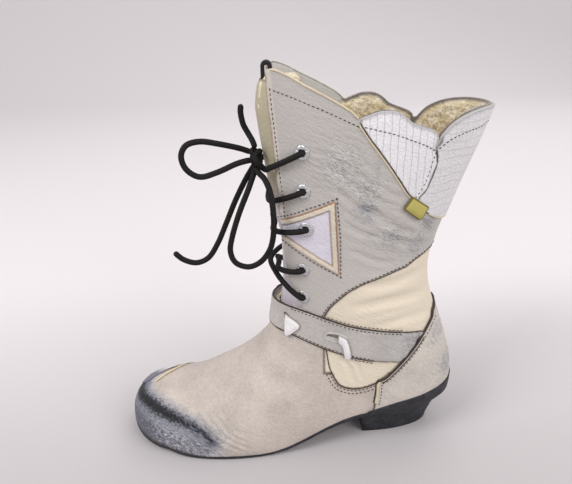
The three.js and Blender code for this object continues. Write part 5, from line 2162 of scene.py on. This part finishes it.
def new_group(name, **sockets):
    group = bpy.data.node_groups.new(name, "GeometryNodeTree")
    group.interface.new_socket("Geometry", in_out="INPUT", socket_type="NodeSocketGeometry")
    ids = {}
    for key, kind in sockets.items():
        made = group.interface.new_socket(key, in_out="INPUT", socket_type=kind)
        ids[key] = made.identifier
    group.interface.new_socket("Geometry", in_out="OUTPUT", socket_type="NodeSocketGeometry")
    return group, ids, add(group, "NodeGroupInput").outputs


def end_group(group, geometry, material):
    real = add(group, "GeometryNodeRealizeInstances", {"Geometry": geometry})
    final = add(group, "GeometryNodeSetMaterial", {"Geometry": real.outputs[0], "Material": material})
    add(group, "NodeGroupOutput", {"Geometry": final.outputs[0]})


group, ids, given = new_group(
    "stitch_row", Pitch="NodeSocketFloat", Stitch="NodeSocketObject", Thread="NodeSocketMaterial"
)
rows = add(
    group,
    "GeometryNodeResampleCurve",
    {"Curve": given["Geometry"], "Length": given["Pitch"]},
    mode="LENGTH",
)
stitch = add(group, "GeometryNodeObjectInfo", {"Object": given["Stitch"]})
tangent = add(group, "GeometryNodeInputTangent")
aligned = add(group, "FunctionNodeAlignRotationToVector", {"Vector": tangent.outputs[0]}, axis="X")
sown = add(
    group,
    "GeometryNodeInstanceOnPoints",
    {"Points": rows.outputs[0], "Instance": stitch.outputs["Geometry"], "Rotation": aligned.outputs[0]},
)
end_group(group, sown.outputs[0], given["Thread"])

# The rows in the side view, x and z.
FRONT_STITCH = [
    [-101.3, 288],
    [-100.5, 276],
    [-98.8, 257],
    [-97, 237],
    [-94.8, 216],
    [-93.3, 196],
    [-92, 184],
]
TOP_STITCH = [[-101.3, 288], [-88.7, 284], [-76, 279], [-63.6, 274], [-51, 268], [-45.7, 265.5]]
CUFF_FRONT_STITCH = [[-40.6, 265], [-31.5, 262.7], [-21.6, 260], [-11.4, 256], [-0.7, 251.5], [5.5, 248]]
CUFF_BACK_STITCH = [[9.6, 249], [17, 254], [28, 257.6], [41, 260], [47, 262]]
CUFF_SIDE_STITCH = [[7, 246], [5, 239], [2.6, 228], [-0.4, 221], [-4, 215]]
BESIDE_FRAME = 2.6
# Columns: the line, how far it is moved sideways, its height over the upper.
SEWN = [
    (smooth(FRONT_STITCH, 4), 0, 0.5),
    (smooth(TOP_STITCH, 4), 0, 0.1),
    (smooth(CUFF_FRONT_STITCH, 4), 0, CUFF_OUT + 0.25),
    (smooth(CUFF_BACK_STITCH, 4), 0, CUFF_OUT + 0.25),
    (smooth(CUFF_SIDE_STITCH, 4), 0, CUFF_OUT + 0.1),
    (only(strap_top, lambda x, z: -90 < x < 6), -1.6, STRAP_OUT),
    (only(strap_top, lambda x, z: -66 < x < 8), 1.8, 1.4),
    (only(strap_bottom, lambda x, z: -96 < x < -26), -1.6, STRAP_OUT),
    (only(strap_bottom, lambda x, z: -52 < x < -26), 1.8, 1.0),
    (CREAM_TOP, 1.5, 0.8),
    (CREAM_FOOT[9:], -1.6, 0.8),
    (CREAM_FOOT[9:], -4.2, 0.8),
    (counter_front[6:-4], 3.6, COUNTER_OUT + 0.05),
]
patch_middle = patch_outline.mean(0)
for a, b in zip(patch_outline[:3], patch_outline[1:]):
    row = np.array([a, (a + b) / 2, b]) - patch_middle
    row = patch_middle + row * (1 + BESIDE_FRAME / np.linalg.norm(row, axis=1, keepdims=True))
    SEWN.append((row, 0, 0.3))
stitch_rows = [
    laid(thinned(shifted(line, by), 3), sign, lift) for _, sign, _ in SIDES for line, by, lift in SEWN
]
template, _ = tube_mesh(
    "stitch", [[-STITCH_LENGTH / 2, 0, 0], [0, 0, 0], [STITCH_LENGTH / 2, 0, 0]], STITCH_RADIUS, 6, 0.55
)
thread_path = bpy.data.curves.new("stitch_lines", "CURVE")
thread_path.dimensions = "3D"
for points in stitch_rows:
    spline = thread_path.splines.new("POLY")
    spline.points.add(len(points) - 1)
    for spot, p in zip(spline.points, points):
        spot.co = (*(p * MM), 1)
holder = bpy.data.objects.new("stitch_lines", thread_path)
bpy.context.scene.collection.objects.link(holder)
sewing = holder.modifiers.new("stitches", "NODES")
sewing.node_group = group
sewing[ids["Pitch"]] = STITCH_PITCH * MM
sewing[ids["Stitch"]] = template
sewing[ids["Thread"]] = thread_look
stitches = evaluated(holder, "stitches")
bpy.data.objects.remove(template)
dress(stitches, thread_look, slot="lace")

# The curls: loose locks of the fleece, strewn at random over the lining in a band under the collar,
# where it shows.
CURLS_MIDDLE, CURLS_REACH, CURLS_ABOVE = 26, 22.5, 218
CURLS_DENSITY = 3.0e5
group, ids, given = new_group(
    "fleece_curls", Density="NodeSocketFloat", Curl="NodeSocketObject", Pile="NodeSocketMaterial"
)
spots = add(
    group,
    "GeometryNodeDistributePointsOnFaces",
    {"Mesh": given["Geometry"], "Density": given["Density"], "Seed": 11},
)
curl = add(group, "GeometryNodeObjectInfo", {"Object": given["Curl"]})
lean = add(
    group,
    "FunctionNodeRandomValue",
    {0: (-0.7, -0.7, 0), 1: (0.7, 0.7, TAU), "Seed": 3},
    data_type="FLOAT_VECTOR",
)
size = add(group, "FunctionNodeRandomValue", {2: 0.5, 3: 1.05, "Seed": 5}, data_type="FLOAT")
turned = add(
    group,
    "FunctionNodeRotateRotation",
    {"Rotation": spots.outputs["Rotation"], "Rotate By": lean.outputs[0]},
    rotation_space="LOCAL",
)
strewn = add(
    group,
    "GeometryNodeInstanceOnPoints",
    {
        "Points": spots.outputs[0],
        "Instance": curl.outputs["Geometry"],
        "Rotation": turned.outputs[0],
        "Scale": size.outputs[1],
    },
)
end_group(group, strewn.outputs[0], given["Pile"])
lock, _ = tube_mesh(
    "lock",
    [[0, 0, -0.5], [0.4, 0, 0.6], [0.2, 0.7, 1.4], [-0.6, 0.5, 1.9], [-0.5, -0.4, 2.1], [0.3, -0.5, 1.8]],
    0.27,
    3,
    1.1,
)


def curls_on(source, name, keep, density):
    """Curls on the faces of a piece whose middles (in mm) are kept."""
    mesh = source.data
    centres = np.array([f.center for f in mesh.polygons]) / MM
    normals = np.array([f.normal for f in mesh.polygons])
    chosen = np.where(keep(centres, normals))[0]
    faces = [tuple(mesh.polygons[int(i)].vertices) for i in chosen]
    used = sorted({v for f in faces for v in f})
    at = {v: i for i, v in enumerate(used)}
    bare = bpy.data.meshes.new(name)
    bare.from_pydata([mesh.vertices[v].co[:] for v in used], [], [tuple(at[v] for v in f) for f in faces])
    holder = bpy.data.objects.new(name + "_ground", bare)
    bpy.context.scene.collection.objects.link(holder)
    strewing = holder.modifiers.new("curls", "NODES")
    strewing.node_group = group
    strewing[ids["Density"]] = density
    strewing[ids["Curl"]] = lock
    strewing[ids["Pile"]] = fleece_look
    piece = evaluated(holder, name)
    places = np.zeros(len(piece.data.vertices) * 3, np.float32)
    piece.data.vertices.foreach_get("co", places)
    p = places.reshape(-1, 3) / MM
    set_mark(piece, "rim", from_line(collar_line, p[:, 0], p[:, 2]))
    piece.data.shade_smooth()
    return dress(piece, fleece_look, slot="fleece")


def by_the_collar(centres, normals):
    """In the band, on the side that faces the middle of the boot."""
    x, y, z = centres.T
    banded = (np.abs(from_line(collar_line, x, z) - CURLS_MIDDLE) < CURLS_REACH) & (z > CURLS_ABOVE)
    return banded & ((y * normals[:, 1] < 0) | (np.abs(y) < 14))


curls_on(lining, "collar_curls", by_the_collar, CURLS_DENSITY)
bpy.data.objects.remove(lock)

# The floor and the light: a pale paper sweep under three soft lamps, as in a studio. Its paper is
# painted a little darker in front: painted shade.
REACH, BEND_AT, BEND = 5.0, 1.6, 1.4
BEND_TURNS = np.linspace(0.06, math.pi / 2, 24)
sweep = [[-REACH, 0], [BEND_AT, 0]]
sweep += [[BEND_AT + BEND * math.sin(a), BEND - BEND * math.cos(a)] for a in BEND_TURNS]
sweep.append([BEND_AT + BEND, 4.0])
verts = [(x, y, z) for y, z in sweep for x in (-REACH, REACH)]
faces = [(2 * i, 2 * i + 1, 2 * i + 3, 2 * i + 2) for i in range(len(sweep) - 1)]
floor = made_piece("floor", verts, faces)
paper, tree, coords = new_material("matt_paper")
forward = add(tree, "ShaderNodeSeparateXYZ", {"Vector": coords}).outputs["Y"]
# Painted shade: the paper darkens towards the front.
painted_shade_share = add(
    tree,
    "ShaderNodeMapRange",
    {"Value": forward, "From Min": -0.14, "From Max": 0.3},
    interpolation_type="SMOOTHSTEP",
).outputs[0]
paper_with_painted_shade = add(
    tree, "ShaderNodeMix", {"Factor": painted_shade_share, 6: shade("bcb7b8"), 7: shade("e6e1e2")}, data_type="RGBA"
).outputs[2]
finish_material(tree, {"Base Color": paper_with_painted_shade, "Roughness": 0.9})
floor.data.materials.append(paper)
world = bpy.data.worlds.new("studio")
world.use_nodes = True
world.node_tree.nodes["Background"].inputs["Color"].default_value = shade("f4f2f4")
world.node_tree.nodes["Background"].inputs["Strength"].default_value = 0.75
bpy.context.scene.world = world
bpy.context.scene.view_settings.view_transform = "Standard"
# Columns: name, place in m, width in m, watts.
LAMPS = [
    ["key", (-1.25, -0.75, 1.5), 0.8, 17],
    ["fill", (1.2, -1.1, 1.0), 1.4, 15],
    ["rim", (0.5, 1.2, 1.5), 1.4, 8],
]
for name, at, width, watts in LAMPS:
    lamp = bpy.data.lights.new(name, "AREA")
    lamp.size = width
    lamp.energy = watts
    holder = bpy.data.objects.new(name, lamp)
    aim = Vector((-0.09, 0, 0.12)) - Vector(at)
    holder.matrix_world = Matrix.Translation(at) @ aim.to_track_quat("-Z", "Y").to_matrix().to_4x4()
    bpy.context.scene.collection.objects.link(holder)
